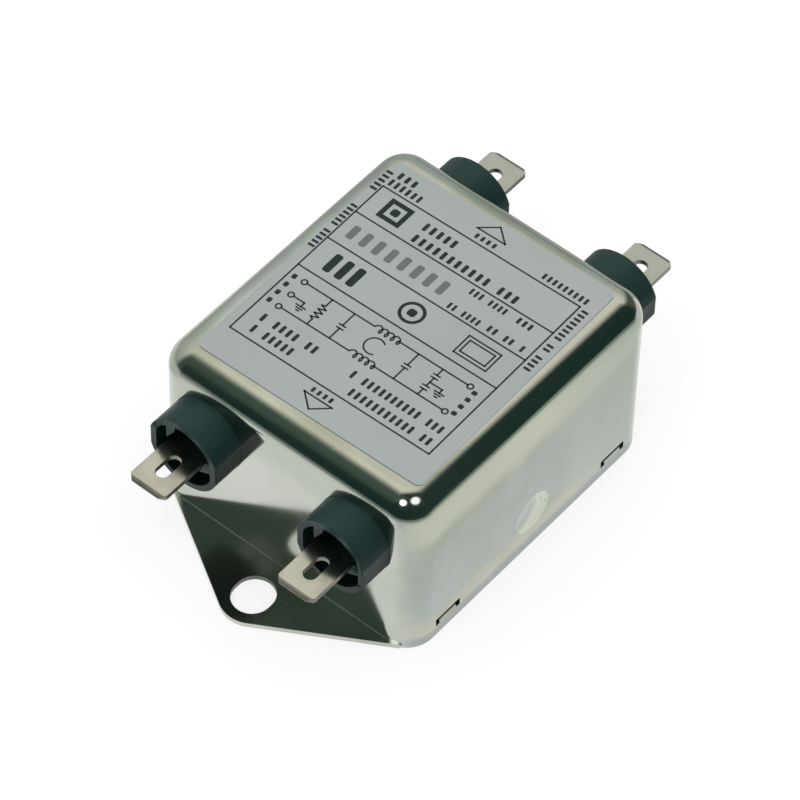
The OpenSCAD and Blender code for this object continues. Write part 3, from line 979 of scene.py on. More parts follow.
@dataclass
class MountingPlate:
    """The base plate with its two slotted ears and four latch lugs."""

    sizes: CaseSizes
    thick: float = 0.8
    fit: float = 0.05
    ear_y: float = 31.5
    tip_r: float = 4.85
    margin: float = 0.2
    slot_r: float = 2.95
    slot_reach: float = 0.3
    lug_y: float = 17.7
    lug_half: float = 2.2
    lug_top: float = 5.2
    bend_r: float = 1.2
    nose_half: float = 1.7
    nose_z: tuple[float, float] = (1.95, 3.25)
    nose_drop: float = 0.75
    nose_r: float = 0.3
    edge: float = 0.1

    def _tangents(self) -> tuple[Spot, Spot]:
        """The ends of an ear's straight edge: on its round tip and on the round about a case corner.

        Returns:
            (x, y) at the tip and (x, y) at the root.
        """
        axis = (self.sizes.half_x - self.sizes.corner_r, self.sizes.half_y - self.sizes.corner_r)
        blend = self.sizes.corner_r + self.margin
        rise = self.ear_y - axis[1]
        side = math.atan2(rise, axis[0]) + math.asin((self.tip_r - blend) / math.hypot(rise, axis[0]))
        out = (math.sin(side), math.cos(side))
        return ((self.tip_r * out[0], self.ear_y + self.tip_r * out[1]),
                (axis[0] + blend * out[0], axis[1] + blend * out[1]))

    def _ear(self, end: int) -> list[bpy.types.Object]:
        """One ear: a root under the case wall, drawn out to a narrow end, and a round tip.

        Args:
            end: 1 for the line end, -1 for the load end.

        Returns:
            The ear's two solids.
        """
        inner = self.sizes.half_y - self.sizes.corner_r
        (tip_x, tip_y), (root_x, root_y) = self._tangents()
        near, far = sorted((end * inner, end * root_y))
        root = Bench.block("ear_root", (-root_x, near, 0), (root_x, far, self.thick))
        Bench.pick(root, Pick.FACES, lambda c, n: n.y * end > 0.9)
        bpy.ops.mesh.extrude_region_move(TRANSFORM_OT_translate={"value": (0, end * (tip_y - root_y) * MM, 0)})
        bpy.ops.transform.resize(value=(tip_x / root_x, 1, 1), center_override=(0, 0, 0))
        Bench.done()
        return [root, Bench.rod("ear_tip", (0, end * self.ear_y, 0), self.thick, self.tip_r)]

    def _slot_tool(self, end: int) -> bpy.types.Object:
        """The tool that opens one mounting slot.

        Args:
            end: 1 for the line end, -1 for the load end.

        Returns:
            The tool.
        """
        tool = Bench.rod("slot_tool", (0, end * self.ear_y, -1), 3.0, self.slot_r)
        for way in (-1, 1):
            Bench.shift(tool, (0, way * self.slot_reach, 0),
                        lambda c, n: (c.y - end * self.ear_y) * way > 0.001)
        return tool

    def _lug(self, side: int, end: int) -> list[bpy.types.Object]:
        """One upright latch lug with a rounded root, and the nose that fills its slot.

        Args:
            side: 1 for the right wall, -1 for the left.
            end: 1 for the line end, -1 for the load end.

        Returns:
            The lug and its nose.
        """
        face = self.sizes.half_x - self.sizes.sheet - self.fit
        y = end * self.lug_y
        near, far = sorted((side * (face - 3.2), side * face))
        lug = Bench.block("lug", (near, y - self.lug_half, 0), (far, y + self.lug_half, self.lug_top))
        Bench.round_edges(lug, self.bend_r, 8, lambda c, d: c.x * side > face - 0.01 and c.z < 0.01)
        near, far = sorted((side * (face - 4.0), side * (face - self.thick)))
        Bench.combine(lug, [Bench.block("hollow", (near, y - 9, self.thick), (far, y + 9, self.lug_top + 1))])
        near, far = sorted((side * (face - 0.1), side * self.sizes.half_x))
        low, high = self.nose_z
        nose = Bench.block("nose", (near, y - self.nose_half, low), (far, y + self.nose_half, high))
        Bench.shift(nose, (0, 0, -self.nose_drop),
                    lambda c, n: c.x * side > self.sizes.half_x - 0.01 and c.z > high - 0.01)
        Bench.round_edges(nose, self.nose_r, 6,
                          lambda c, d: c.x * side > self.sizes.half_x - 0.01 and c.z > low + 0.01 and abs(d.y) > 0.99)
        return [lug, nose]

    def build(self) -> None:
        """Models the plate and books it in."""
        half_x = self.sizes.half_x - self.sizes.sheet - self.fit
        half_y = self.sizes.half_y - self.sizes.sheet - self.fit
        plate = Bench.block("mounting_plate", (-half_x, -half_y, 0), (half_x, half_y, self.thick))
        Bench.round_edges(plate, self.sizes.corner_r - self.sizes.sheet, 12, lambda c, d: abs(d.z) > 0.99)
        reliefs = []
        for side in (-1, 1):
            for end in (-1, 1):
                near, far = sorted((side * (half_x - 1.5), side * (half_x + 1)))
                reliefs.append(Bench.block("relief", (near, end * self.lug_y - self.lug_half - 0.4, -1),
                                           (far, end * self.lug_y + self.lug_half + 0.4, 2)))
        Bench.combine(plate, reliefs)
        for end in (-1, 1):
            Bench.combine(plate, self._ear(end), Join.WELD)
        Bench.tidy(plate)
        Bench.combine(plate, [self._slot_tool(end) for end in (-1, 1)])
        Bench.finish_with(plate, "TRIANGULATE", quad_method="BEAUTY", ngon_method="BEAUTY")
        Bench.finish_with(plate, "BEVEL", width=self.edge * MM, segments=2, limit_method="ANGLE",
                          angle_limit=math.radians(50), harden_normals=False)
        for side in (-1, 1):
            for end in (-1, 1):
                Bench.combine(plate, self._lug(side, end), Join.WELD)
        Bench.smooth(plate, 32.0, even=False)
        Bench.flatten(plate)
        Piece.settle(plate, Finish.PLATE, "plate_steel", "base_plate")
        # sheared slot walls, darkened beyond bare steel as painted shade inside the mounting slots
        reach = self.slot_r + self.slot_reach + 0.3
        Bench.dress_part(plate, Finish.SHEARED,
                         lambda c, n: abs(n.z) < 0.3 and math.hypot(c.x, abs(c.y) - self.ear_y) < reach)


@dataclass
class Terminals:
    """The four bushings and quick-connect blades, made once at the origin's load side and copied."""

    sizes: CaseSizes
    x: float = 12.88
    z: float = 19.7
    bush_r: float = 5.95
    flat: float = 5.7
    out: float = 5.25
    rim: float = 0.95
    mouth: float = 3.4
    flange_t: float = 1.6
    flange_half: float = 4.9
    flange_low: float = 7.6
    blade_half: float = 3.175
    blade_t: float = 0.8
    blade_out: float = 7.55
    tip_cut: float = 0.85
    lead: float = 0.6
    hole_half: float = 1.0
    hole_l: float = 4.2
    hole_tip: float = 2.6
    tail_l: float = 4.8
    tail_in: float = 6.3
    lead_hole: Spot = (5.38, 20.9)

    def __post_init__(self) -> None:
        """Works out the stations along the terminal's axis."""
        self.face_y = self.sizes.half_y + self.out
        self.wall_y = self.sizes.half_y - self.sizes.sheet
        self.back_y = self.wall_y - self.flange_t
        self.tip_y = self.face_y + self.blade_out

    def _web(self, name: str, corners: Sequence[Spot]) -> bpy.types.Object:
        """A keying web in the mouth, from a block whose corners are pulled to a slanted outline.

        Args:
            name: its name.
            corners: four (x, z) points in front view, anticlockwise from the lower left.

        Returns:
            The web.
        """
        front = -self.face_y
        web = Bench.block(name, (-1, front, -1), (1, front + self.mouth + 0.5, 1))
        signs = [(-1, -1), (1, -1), (1, 1), (-1, 1)]
        for (sx, sz), (x, z) in zip(signs, corners):
            Bench.shift(web, (x - sx, 0, z - sz),
                        lambda c, n, sx=sx, sz=sz: (c - Vector((sx, c.y, sz))).length < 0.01)
        return web

    def _bushing(self) -> bpy.types.Object:
        """One bushing on the Y axis: barrel, mouth with two webs, flange and blade slot.

        Returns:
            The bushing.
        """
        bush = Bench.rod("bushing", (0, -self.back_y, 0), self.face_y - self.back_y, self.bush_r, (0, -1, 0), 192)
        inner_r = self.bush_r - self.rim
        mouth = Bench.rod("mouth_tool", (0, self.mouth - self.face_y, 0), self.mouth + 1, inner_r, (0, -1, 0), 192)
        for body, half in ((bush, self.flat), (mouth, self.flat - self.rim)):
            Bench.combine(body, [Bench.block("flats", (-half, -99, -9), (half, 0, 9))], Join.KEEP)
        Bench.combine(bush, [mouth])
        webs = [self._web("upper_web", [(-2.85, 1.7), (-1.4, 3.9), (-1.2, 5.3), (-2.9, 4.9)]),
                self._web("side_web", [(2.5, -1.1), (5.2, 0.1), (5.0, 1.9), (4.0, 1.6)])]
        Bench.combine(bush, webs, Join.WELD)
        flange = Bench.block("flange", (-self.flange_half, -self.wall_y, -self.flange_low),
                             (self.flange_half, -self.back_y, self.bush_r + 0.1))
        Bench.combine(bush, [flange], Join.WELD)
        slot = Bench.block("slot_tool", (-self.blade_half - 0.05, -self.face_y - 1, -self.blade_t / 2 - 0.05),
                           (self.blade_half + 0.05, 1 - self.back_y, self.blade_t / 2 + 0.05))
        Bench.combine(bush, [slot])
        Bench.finish_with(bush, "BEVEL", width=0.14 * MM, segments=3, limit_method="ANGLE",
                          angle_limit=math.radians(50), harden_normals=False)
        for level in (0.2 - self.sizes.half_y, 0.5 - self.face_y):
            Bench.slice(bush, (0, level, 0), (0, 1, 0))
        Bench.smooth(bush, 40.0, weight=50)
        return bush

    def _blade(self, name: str, inward: int) -> bpy.types.Object:
        """One blade on the Y axis: cut tip, thinned lead-in, slot, and solder lug.

        Args:
            name: its name.
            inward: the way the solder lug reaches, along X.

        Returns:
            The blade.
        """
        half_t = self.blade_t / 2
        blade = Bench.block(name, (-self.blade_half, -self.tip_y, -half_t), (self.blade_half, -self.back_y, half_t))
        Bench.round_edges(blade, self.tip_cut, 1, lambda c, d: abs(d.z) > 0.99 and c.y < -self.tip_y + 0.01)
        wedge = 0.75 * half_t
        for way in (-1, 1):
            ramp = Bench.block("ramp_tool", (-6, -self.tip_y - 1, 0), (6, self.lead - self.tip_y, 2))
            Bench.shift(ramp, (0, 0, half_t), lambda c, n: c.z < 0.01)
            slope = wedge / self.lead
            Bench.shift(ramp, (0, 0, -slope * (self.lead + 1)), lambda c, n: c.z < half_t + 0.01 and c.y < -self.tip_y)
            if way < 0:
                ramp.data.transform(Matrix.Rotation(math.pi, 4, "Y"))
            Bench.combine(blade, [ramp])
        near, far = sorted((-inward * self.blade_half, inward * self.tail_in))
        tail = Bench.block("tail", (near, -self.back_y, -half_t), (far, self.tail_l - self.back_y, half_t))
        Bench.combine(blade, [tail], Join.WELD)
        slot_mid = self.tip_y - self.hole_tip - self.hole_l / 2
        slot = Bench.rod("slot_tool", (0, -slot_mid, -2), 4.0, self.hole_half, sides=48)
        reach = self.hole_l / 2 - self.hole_half
        for way in (-1, 1):
            Bench.shift(slot, (0, way * reach, 0), lambda c, n: (c.y + slot_mid) * way > 0.001)
        pin = Bench.rod("pin_tool", (inward * self.lead_hole[0], -self.lead_hole[1], -2), 4.0, 0.4, sides=32)
        Bench.combine(blade, [slot, pin])
        Bench.finish_with(blade, "BEVEL", width=0.07 * MM, segments=2, limit_method="ANGLE",
                          angle_limit=math.radians(40), harden_normals=False)
        Bench.smooth(blade, 32.0)
        return blade

    def build(self) -> None:
        """Models the terminals and books them in."""
        bush = self._bushing()
        blades = {way: self._blade("blade_master", way) for way in (-1, 1)}
        for end, end_name in ((-1, "load"), (1, "line")):
            for side, side_name in ((-1, "left"), (1, "right")):
                turn = 0.0 if end < 0 else 180.0
                move = (side * self.x, 0, self.z)
                tag = f"{end_name}_{side_name}"
                copy = Bench.copy(bush, f"bush_{tag}", turn, move)
                Piece.settle(copy, Finish.BUSHING, "bushing_plastic", f"bushing_{tag}")
                blade = Bench.copy(blades[side * end], f"blade_{tag}", turn, move)
                Piece.settle(blade, Finish.BLADE, "tinned_brass", f"tab_{tag}")
                Bench.dress_part(blade, Finish.BLADE_EDGE, lambda c, n: abs(n.z) < 0.97)
        for master in (bush, *blades.values()):
            bpy.data.objects.remove(master)


@dataclass
class Printer:
    """Lays ink on the label: flat strokes, rings and bars in the label's own millimetres."""

    height: float
    centre: Spot = (-0.56, 0.25)
    turn_deg: float = 1.26
    line: float = 0.25
    parts: list[bpy.types.Object] = field(default_factory=list)

    def _plane(self, middle: Spot, length: float, width: float, angle: float) -> bpy.types.Object:
        """One flat patch of ink.

        Args:
            middle: its middle.
            length: its length.
            width: its width.
            angle: its angle in radians.

        Returns:
            The patch.
        """
        bpy.ops.object.select_all(action="DESELECT")
        bpy.ops.mesh.primitive_plane_add(size=1.0, location=(middle[0] * MM, middle[1] * MM, self.height * MM),
                                         rotation=(0, 0, angle))
        bpy.context.active_object.scale = (length * MM, width * MM, 1)
        patch = Bench._added("ink")
        self.parts.append(patch)
        return patch

    def panel(self, middle: Spot, length: float, width: float) -> None:
        """A filled bar with square ends, so that others can butt against it.

        Args:
            middle: its middle.
            length: its length.
            width: its width.
        """
        self._plane(middle, length, width, 0.0)

    def bar(self, middle: Spot, length: float, width: float, angle_deg: float = 0.0) -> None:
        """A filled bar with rounded ends.

        Args:
            middle: its middle.
            length: its length.
            width: its width.
            angle_deg: its angle.
        """
        patch = self._plane(middle, length, width, math.radians(angle_deg))
        Bench.pick(patch, Pick.VERTS, lambda c, n: True)
        bpy.ops.mesh.bevel(offset=min(length, width) * 0.3 * MM, segments=4, affect="VERTICES")
        Bench.done()

    def cells(self, start: Spot, row: str, pitch: float, tall: float, upright: bool = False) -> None:
        """A row of small filled cells.

        Args:
            start: the middle of the row's first place.
            row: a mark for each cell and a space for each gap.
            pitch: the distance from one place to the next.
            tall: the cells' height.
            upright: whether the row runs up the label.
        """
        self.bar((0, 0), pitch * 0.5, tall)
        master = self.parts.pop()
        for i, mark in enumerate(row):
            if mark != " ":
                along = i * pitch
                x, y = (start[0], start[1] + along) if upright else (start[0] + along, start[1])
                self.parts.append(Bench.copy(master, "ink", 90.0 if upright else 0.0, (x, y, 0)))
        bpy.data.objects.remove(master)

    def stroke(self, points: Sequence[Spot], closed: bool = False) -> None:
        """A thin line through points.

        Args:
            points: its corners.
            closed: whether it comes back to its start.
        """
        ends = list(points) + ([points[0]] if closed else [])
        for (ax, ay), (bx, by) in zip(ends, ends[1:]):
            run = math.hypot(bx - ax, by - ay)
            self._plane(((ax + bx) / 2, (ay + by) / 2), run + self.line, self.line, math.atan2(by - ay, bx - ax))

    def curve(self, points: Sequence[Spot]) -> None:
        """A thin line with many short steps, made as one ribbon.

        Args:
            points: its points in order.
        """
        bpy.ops.object.select_all(action="DESELECT")
        half = self.line / 2
        start = points[0]
        bpy.ops.mesh.primitive_plane_add(size=1.0, location=(0, 0, self.height * MM))
        ribbon = Bench._added("ink")
        left, right = [], []
        for i, (x, y) in enumerate(points):
            ax, ay = points[max(i - 1, 0)]
            bx, by = points[min(i + 1, len(points) - 1)]
            run = math.hypot(bx - ax, by - ay) or 1.0
            nx, ny = -(by - ay) / run * half, (bx - ax) / run * half
            left.append(((x + nx) * MM, (y + ny) * MM, self.height * MM))
            right.append(((x - nx) * MM, (y - ny) * MM, self.height * MM))
        ribbon.data.clear_geometry()
        n = len(points)
        faces = [(i, n + i, n + i + 1, i + 1) for i in range(n - 1)]
        ribbon.data.from_pydata(left + right, [], faces)
        ribbon.data.update()
        log.debug("ribbon from %s with %d steps", start, n)
        self.parts.append(ribbon)

    def arc(self, middle: Spot, radius: float, start_deg: float = 0.0, end_deg: float = 360.0) -> None:
        """A thin round line.

        Args:
            middle: its centre.
            radius: its radius.
            start_deg: where it begins.
            end_deg: where it ends.
        """
        steps = max(12, int(abs(end_deg - start_deg) / 10))
        angles = [math.radians(start_deg + (end_deg - start_deg) * i / steps) for i in range(steps + 1)]
        self.curve([(middle[0] + radius * math.cos(a), middle[1] + radius * math.sin(a)) for a in angles])

    def finish(self, name: str, finish: Finish) -> None:
        """Joins the ink so far, turns it onto the label and books it in.

        Args:
            name: the piece's name.
            finish: its ink.
        """
        piece = Bench.merge(name, self.parts)
        self.parts = []
        turn = Matrix.Rotation(math.radians(self.turn_deg), 4, "Z")
        piece.data.transform(Matrix.Translation((self.centre[0] * MM, self.centre[1] * MM, 0)) @ turn)
        Piece.settle(piece, finish, "label_film")


@dataclass
class Label:
    """The film on the case top and its print: a ruled frame, a circuit, arrows and plain bars."""

    sizes: CaseSizes
    half_x: float = 18.9
    half_y: float = 21.2
    corner: float = 1.0
    film: float = 0.12
    centre: Spot = (-0.1, 0.2)
    turn_deg: float = 1.26
    frame_x: float = 16.9
    frame_y: float = 16.2
    rows: tuple[float, ...] = (10.27, 4.24, -1.96)
    top_wire: float = -3.88
    low_wire: float = -9.3
    mid_wire: float = -6.7

    def _drape(self, x: float, y: float) -> float:
        """How far the case falls away under a point of the film.

        Args:
            x: place across the case.
            y: place along the case.

        Returns:
            The drop in millimetres.
        """
        s = self.sizes
        over = math.hypot(max(abs(x) - (s.half_x - s.edge_r), 0), max(abs(y) - (s.half_y - s.edge_r), 0))
        return s.edge_r - math.sqrt(max(s.edge_r ** 2 - over ** 2, 0))

    def _film(self) -> None:
        """Lays the film, its long edges following the start of the case's round."""
        top = self.sizes.top
        film = Bench.block("label_sheet", (-self.half_x, -self.half_y, top), (self.half_x, self.half_y, top + self.film))
        Bench.round_edges(film, self.corner, 8, lambda c, d: abs(d.z) > 0.99)
        for x in range(-18, 19, 1):
            Bench.slice(film, (x * 1.02, 0, 0), (1, 0, 0))
        film.data.transform(Matrix.Translation((self.centre[0] * MM, self.centre[1] * MM, 0))
                            @ Matrix.Rotation(math.radians(self.turn_deg), 4, "Z"))
        for vert in film.data.vertices:
            vert.co.z -= self._drape(vert.co.x / MM, vert.co.y / MM) * MM
        Bench.smooth(film, 30.0)
        Piece.settle(film, Finish.FILM, "label_film", "label")

    def _ground(self, ink: Printer, x: float, y: float) -> None:
        """An earth symbol: three bars, each shorter.

        Args:
            ink: the printer.
            x: its middle.
            y: its first bar.
        """
        for i, half in enumerate((0.75, 0.45, 0.18)):
            ink.stroke([(x - half, y - 0.4 * i), (x + half, y - 0.4 * i)])

    def _capacitor(self, ink: Printer, x: float, top: float, low: float, gap: tuple[float, float]) -> None:
        """A capacitor symbol between two heights.

        Args:
            ink: the printer.
            x: its place.
            top: the upper wire.
            low: the lower wire.
            gap: the heights of its two plates.
        """
        ink.stroke([(x, top), (x, gap[0])])
        for level in gap:
            ink.stroke([(x - 0.5, level), (x + 0.5, level)])
        ink.stroke([(x, gap[1]), (x, low)])

    def _coil(self, ink: Printer, x0: float, x1: float, y: float, loops: int = 4) -> None:
        """A coil symbol: a rolling curve with loops.

        Args:
            ink: the printer.
            x0: where it begins.
            x1: where it ends.
            y: its wire's height.
            loops: how many loops.
        """
        radius = 0.55
        steps = 20 * loops
        points = []
        for i in range(steps + 1):
            turn = 2 * math.pi * loops * i / steps
            points.append((x0 + (x1 - x0) * i / steps + radius * 0.7 * (1 - math.cos(turn)),
                           y + radius * math.sin(turn)))
        ink.curve(points)

    def _circuit(self, ink: Printer) -> None:
        """Draws the circuit.

        Args:
            ink: the printer.
        """
        top, low, mid = self.top_wire, self.low_wire, self.mid_wire
        r = 0.42
        left, right = -14.2, 14.07
        for y in (top, low, mid):
            ink.arc((left, y), r)
        for y in (top, low):
            ink.arc((right, y), r)
            ink.stroke([(left + r, y), (-2.1, y)])
            self._coil(ink, -2.1, 1.9, y)
            ink.stroke([(1.9, y), (right - r, y)])
        ink.stroke([(left + r, mid), (-11.87, mid), (-11.87, mid - 0.8)])
        self._ground(ink, -11.87, mid - 0.8)
        zig = [(-9.35 + (0.5 if i % 2 else -0.5), -5.5 - 0.4 * i) for i in range(7)]
        ink.stroke([(-9.35, top), (-9.35, -5.3), *zig, (-9.35, -8.15), (-9.35, low)])
        self._capacitor(ink, -5.5, top, low, (-6.5, -7.1))
        self._capacitor(ink, 5.4, top, low, (-6.3, -6.9))
        self._capacitor(ink, 9.5, top, mid, (-5.2, -5.8))
        self._capacitor(ink, 9.5, mid, low, (-7.5, -8.1))
        ink.stroke([(9.5, mid), (11.6, mid), (11.6, mid - 0.7)])
        self._ground(ink, 11.6, mid - 0.7)
        ink.arc((0.0, -6.6), 1.45, 48, 305)

    def _rules(self, ink: Printer) -> None:
        """Draws the frame, its rows and the two arrows.

        Args:
            ink: the printer.
        """
        x, y = self.frame_x, self.frame_y
        ink.stroke([(-x, -y), (x, -y), (x, y), (-x, y)], closed=True)
        for row in self.rows:
            ink.stroke([(-x, row), (x, row)])
        ink.stroke([(-2.35, 18.46), (2.45, 18.46), (0.1, 20.5)], closed=True)
        ink.stroke([(-2.35, -18.3), (2.35, -18.3), (0.05, -20.35)], closed=True)

    def _marks(self, ink: Printer) -> None:
        """Draws the plain marks of the label's rows: a square, three bars, a ring and a double box.

        Args:
            ink: the printer.
        """
        thin = ink.line
        x, y, half, band = -12.5, 13.4, 1.95, 0.75
        for way in (-1, 1):
            ink.panel((x, y + way * (half - band / 2)), 2 * half, band)
            ink.panel((x + way * (half - band / 2), y), band, 2 * (half - band))
        ink.bar((x, y), 1.3, 1.3)
        for x in (-13.4, -11.4, -9.4):
            ink.bar((x, 1.1), 1.2, 3.6)
        ink.line = 0.5
        ink.arc((0.26, 1.1), 1.7)
        ink.line = thin
        ink.bar((0.26, 1.1), 1.3, 1.3)
        for inset in (0.0, 0.6):
            ink.stroke([(8.6 + inset, -0.6 + inset), (14.0 - inset, -0.6 + inset),
                        (14.0 - inset, 2.9 - inset), (8.6 + inset, 2.9 - inset)], closed=True)

    def _cells(self, ink: Printer) -> None:
        """Draws rows of plain cells where a label has its lines of small print.

        Args:
            ink: the printer.
        """
        rows = [((-16.1, 19.1), "###", 1.2, 1.3), ((-16.4, 17.4), "######", 0.98, 1.3),
                ((-1.45, 17.3), "####", 0.98, 0.9), ((10.0, 17.4), "#########", 0.88, 1.1),
                ((-7.7, 14.1), "#####", 1.2, 1.5), ((-7.6, 11.6), "########### ###", 1.22, 1.5),
                ((4.1, 9.1), "### ####", 0.8, 1.15), ((12.1, 9.1), "###", 0.95, 1.15),
                ((3.3, 5.3), "## ####", 0.8, 1.15), ((9.9, 5.5), "## ## #", 0.92, 1.15),
                ((-14.5, -12.1), "# #### ##", 1.1, 1.45), ((-14.3, -14.4), "# #####", 1.05, 1.45),
                ((0.9, -12.1), "# ########## ###", 0.98, 1.4), ((2.6, -14.6), "########### ##", 1.0, 1.4),
                ((-1.55, -17.4), "####", 1.0, 0.9)]
        for start, row, pitch, tall in rows:
            ink.cells(start, row, pitch, tall)
        for start, row, pitch, tall in (((-17.7, 1.8), "##### ######", 0.83, 1.1), ((-17.7, 15.1), "#####", 0.9, 1.1),
                                        ((18.0, 3.2), "#### ## ########", 0.84, 1.1),
                                        ((15.2, -8.8), "####", 1.45, 0.8), ((-15.9, -9.2), "####", 1.75, 0.7)):
            ink.cells(start, row, pitch, tall, upright=True)

    def build(self) -> None:
        """Lays the film and prints it."""
        self._film()
        ink = Printer(self.sizes.top + self.film + 0.01)
        self._rules(ink)
        ink.finish("label_rules", Finish.INK)
        self._circuit(ink)
        ink.finish("label_circuit", Finish.INK)
        self._marks(ink)
        ink.finish("label_marks", Finish.INK)
        self._cells(ink)
        ink.finish("label_cells", Finish.INK)
        ink.cells((-14.7, 7.1), "########", 2.2, 2.6)
        ink.finish("label_large_cells", Finish.GREY_INK)


@dataclass
class InnerParts:
    """The pieces inside the case, which keep their CAD meshes."""

    nodes: dict[str, bpy.types.Object]
    finishes: dict[str, Finish] = field(default_factory=lambda: {
        "liner": Finish.BOARD, "core_divider": Finish.BOARD, "choke_core": Finish.FERRITE,
        "core_cup": Finish.RING_CASE, "core_lid": Finish.RING_CASE, "winding_left": Finish.COPPER,
        "winding_right": Finish.COPPER, "x_capacitor_load": Finish.BOX, "x_capacitor_line": Finish.BOX,
        "y_capacitor_left": Finish.DISC, "y_capacitor_right": Finish.DISC,
        "bleed_resistor": Finish.RESISTOR, "can": Finish.CASE, "base_plate": Finish.PLATE,
        "label": Finish.FILM})

    def build(self) -> None:
        """Dresses every CAD node."""
        for name, node in self.nodes.items():
            if name.startswith("bushing"):
                finish = Finish.BUSHING
            elif name.startswith("tab"):
                finish = Finish.BLADE
            else:
                finish = self.finishes[name]
            for slot in node.material_slots:
                slot.material = finish.material()
            log.info("%s: %s", name, finish.value.name)


# ---------------------------------------------------------------- stage


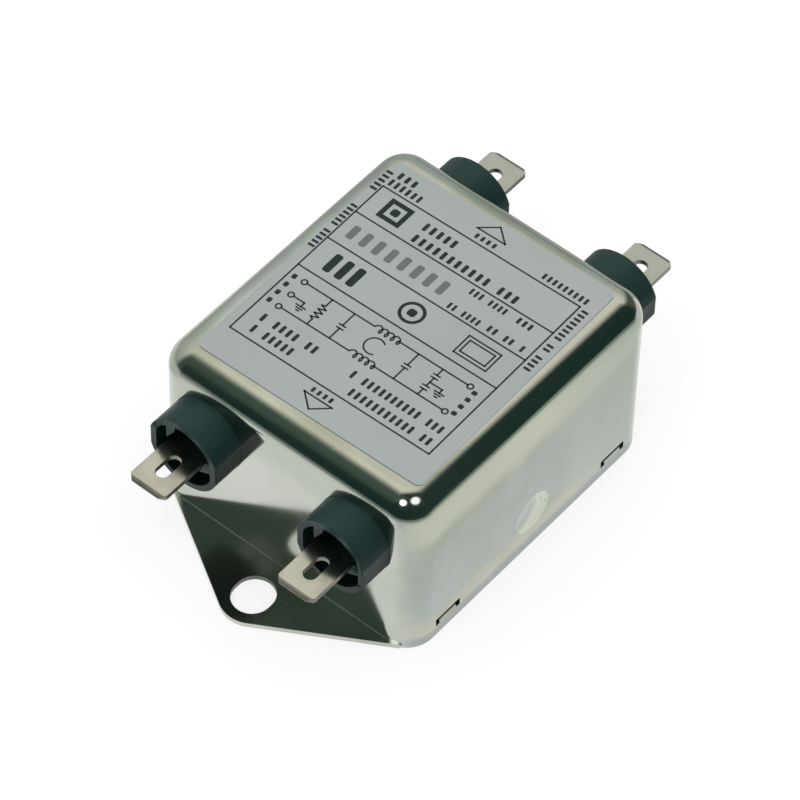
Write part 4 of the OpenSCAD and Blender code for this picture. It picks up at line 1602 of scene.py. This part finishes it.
@dataclass
class Studio:
    """A white table, a soft bright sky behind the object and a dark room on the camera's side."""

    azimuth: float = 38.906
    elevation: float = 51.132
    roll: float = 1.434
    lens: float = 207.96
    station: Point = (246.98, -307.17, 501.96)
    sky: Colour = (0.90, 0.86, 0.76)
    zenith: Colour = (1.02, 0.98, 0.85)
    cool: Colour = (0.84, 0.87, 0.86)
    haze: Colour = (0.47, 0.53, 0.50)
    dusk: Colour = (0.11, 0.11, 0.09)
    dim: Colour = (0.065, 0.105, 0.085)
    room: Colour = (0.0135, 0.037, 0.032)
    level: float = 0.93

    def _camera(self) -> None:
        """Sets the camera at its station."""
        a, e, r = (math.radians(v) for v in (self.azimuth, self.elevation, self.roll))
        back = Vector((math.sin(a) * math.cos(e), -math.cos(a) * math.cos(e), math.sin(e)))
        right = Vector((0, 0, 1)).cross(back).normalized()
        up = back.cross(right)
        cam_x = math.cos(r) * right + math.sin(r) * up
        cam_y = math.cos(r) * up - math.sin(r) * right
        turn = Matrix((cam_x, cam_y, back)).transposed().to_4x4()
        data = bpy.data.cameras.new("camera")
        data.lens = self.lens
        data.sensor_width = 36.0
        data.clip_start = 0.01
        camera = bpy.data.objects.new("camera", data)
        camera.matrix_world = Matrix.Translation(Vector(self.station) * MM) @ turn
        bpy.context.scene.collection.objects.link(camera)
        bpy.context.scene.camera = camera

    def _world(self) -> None:
        """Builds the sky: white to the camera, bright behind and dark in front for reflections."""
        world = bpy.data.worlds.new("studio")
        world.use_nodes = True
        bpy.context.scene.world = world
        recipe = Recipe(world.node_tree)
        way = recipe.flow("ShaderNodeTexCoord", output="Generated")
        parts = recipe.node("ShaderNodeSeparateXYZ", {}, {0: way})
        x, y, z = (Flow(recipe, parts.outputs[i]) for i in range(3))
        towards = x * 0.62 - y * 0.55
        dark = towards.ramp(-0.33, -0.065)
        low = 1.0 - z.ramp(0.35, 0.85)
        aside = (0.0 - x).ramp(0.4, 0.9) * (1.0 - z.ramp(0.0, 0.35) * 0.35)
        behind = (y.ramp(0.45, 0.75) + aside).clamped() * low
        open_sky = recipe.blend(y.ramp(0.1, 0.45), self.zenith, self.sky)
        open_sky = recipe.blend((0.0 - x).ramp(0.45, 0.65), open_sky, self.cool)
        front = (0.0 - y).ramp(0.0, 0.35) * (1.0 - towards.ramp(0.08, 0.20))
        corner = (x - z).ramp(-0.62, -0.25)
        far = recipe.blend(corner, recipe.blend(behind, open_sky, self.haze), self.dusk)
        seen = recipe.blend(dark, far, recipe.blend(front, self.room, self.dim))
        above = z.clamped() * 1.25 + 0.05
        rays = recipe.node("ShaderNodeLightPath")
        glossy = Flow(recipe, rays.outputs["Is Glossy Ray"])
        camera = Flow(recipe, rays.outputs["Is Camera Ray"])
        plain = recipe.blend(above, (0.0, 0.0, 0.0), (self.level,) * 3)
        lit = recipe.blend(glossy, plain, seen)
        colour = recipe.blend(camera, lit, (1.0, 1.0, 1.0))
        shader = recipe.flow("ShaderNodeBackground", {}, {"Color": colour, "Strength": 1.0})
        recipe.node("ShaderNodeOutputWorld", {}, {"Surface": shader})

    def _table(self) -> None:
        """Lays the white table, which looks greyer to the sides and behind where the metal mirrors it."""
        bpy.ops.object.select_all(action="DESELECT")
        bpy.ops.mesh.primitive_plane_add(size=3.0, location=(0, 0, -0.00005))
        table = Bench._added("table")
        recipe = Recipe.material("table_white")
        grain = recipe.cloud(40.0, 2.0)
        parts = recipe.node("ShaderNodeSeparateXYZ", {}, {0: recipe.place()})
        x, y = Flow(recipe, parts.outputs[0]), Flow(recipe, parts.outputs[1])
        rays = recipe.node("ShaderNodeLightPath")
        glossy = Flow(recipe, rays.outputs["Is Glossy Ray"])
        soft = Flow(recipe, rays.outputs["Is Diffuse Ray"])
        side = x.ramp(0.014, 0.034) * glossy
        left = (0.0 - x).ramp(0.040, 0.060) * glossy
        behind = y.ramp(0.028, 0.036) * (1.0 - x.ramp(0.010, 0.020)) * glossy
        white = recipe.blend(grain, (0.36, 0.36, 0.357), (0.35, 0.35, 0.347))
        far = (x * x + y * y).ramp(0.02, 0.25) * glossy
        lower = recipe.blend((side + left).clamped(), white, (0.24, 0.245, 0.24))
        tone = recipe.blend((behind + far).clamped(), lower, (0.18, 0.19, 0.18))
        mirrored = recipe.blend((side + left).clamped(), (0.72, 0.72, 0.717), (0.53, 0.54, 0.53))
        dimmer = recipe.blend((behind + far).clamped(), mirrored, (0.27, 0.29, 0.28))
        gloom = (x * x + y * y).ramp(0.0, 0.05) * (x * 0.7 - y * 0.55).ramp(0.0, 0.03) * glossy
        murky = recipe.blend(gloom, dimmer, (0.15, 0.18, 0.17))
        shade = recipe.blend(gloom, tone, (0.11, 0.13, 0.12))
        light = recipe.blend(soft, murky, (0.08, 0.08, 0.08))
        paint = recipe.flow("ShaderNodeBsdfDiffuse", {}, {"Color": shade})
        glow = recipe.flow("ShaderNodeEmission", {}, {"Color": light, "Strength": 1.0})
        both = recipe.flow("ShaderNodeAddShader", {}, {0: paint, 1: glow})
        recipe.node("ShaderNodeOutputMaterial", {}, {"Surface": both})
        table.data.materials.append(recipe.made)

    def _lamp(self, name: str, place: Point, size: float, power: float) -> None:
        """One soft lamp aimed at the case.

        Args:
            name: its name.
            place: where it hangs, in millimetres.
            size: the width of its round face, in millimetres.
            power: its power in watts.
        """
        data = bpy.data.lights.new(name, "AREA")
        data.shape = "DISK"
        data.size = size * MM
        data.energy = power
        lamp = bpy.data.objects.new(name, data)
        lamp.location = Vector(place) * MM
        lamp.rotation_euler = (Vector(place) - Vector((0, 0, 15))).to_track_quat("Z", "Y").to_euler()
        bpy.context.scene.collection.objects.link(lamp)

    def build(self) -> None:
        """Sets up the camera, sky, table and lamps."""
        self._camera()
        self._world()
        self._table()
        self._lamp("key", (26, -483, 804), 340, 0.8)
        self._lamp("fill", (387, -38, 851), 440, 0.8)
        bpy.context.scene.view_settings.view_transform = "Standard"


def corners(bounds: Iterable[Iterable[float]]) -> list[list[float]]:
    """Plain numbers of a box.

    Args:
        bounds: its two corners.

    Returns:
        The corners as lists.
    """
    return [[float(v) for v in corner] for corner in bounds]


def main() -> None:
    """Builds the filter in the frame."""
    logging.basicConfig(level=logging.INFO, format="%(name)s: %(message)s")
    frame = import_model()
    sizes = CaseSizes.from_frame()
    Studio().build()
    InnerParts(frame["nodes"]).build()
    for part in (DrawnCase(sizes), MountingPlate(sizes), Terminals(sizes), Label(sizes)):
        part.build()


if __name__ == "__main__":
    main()
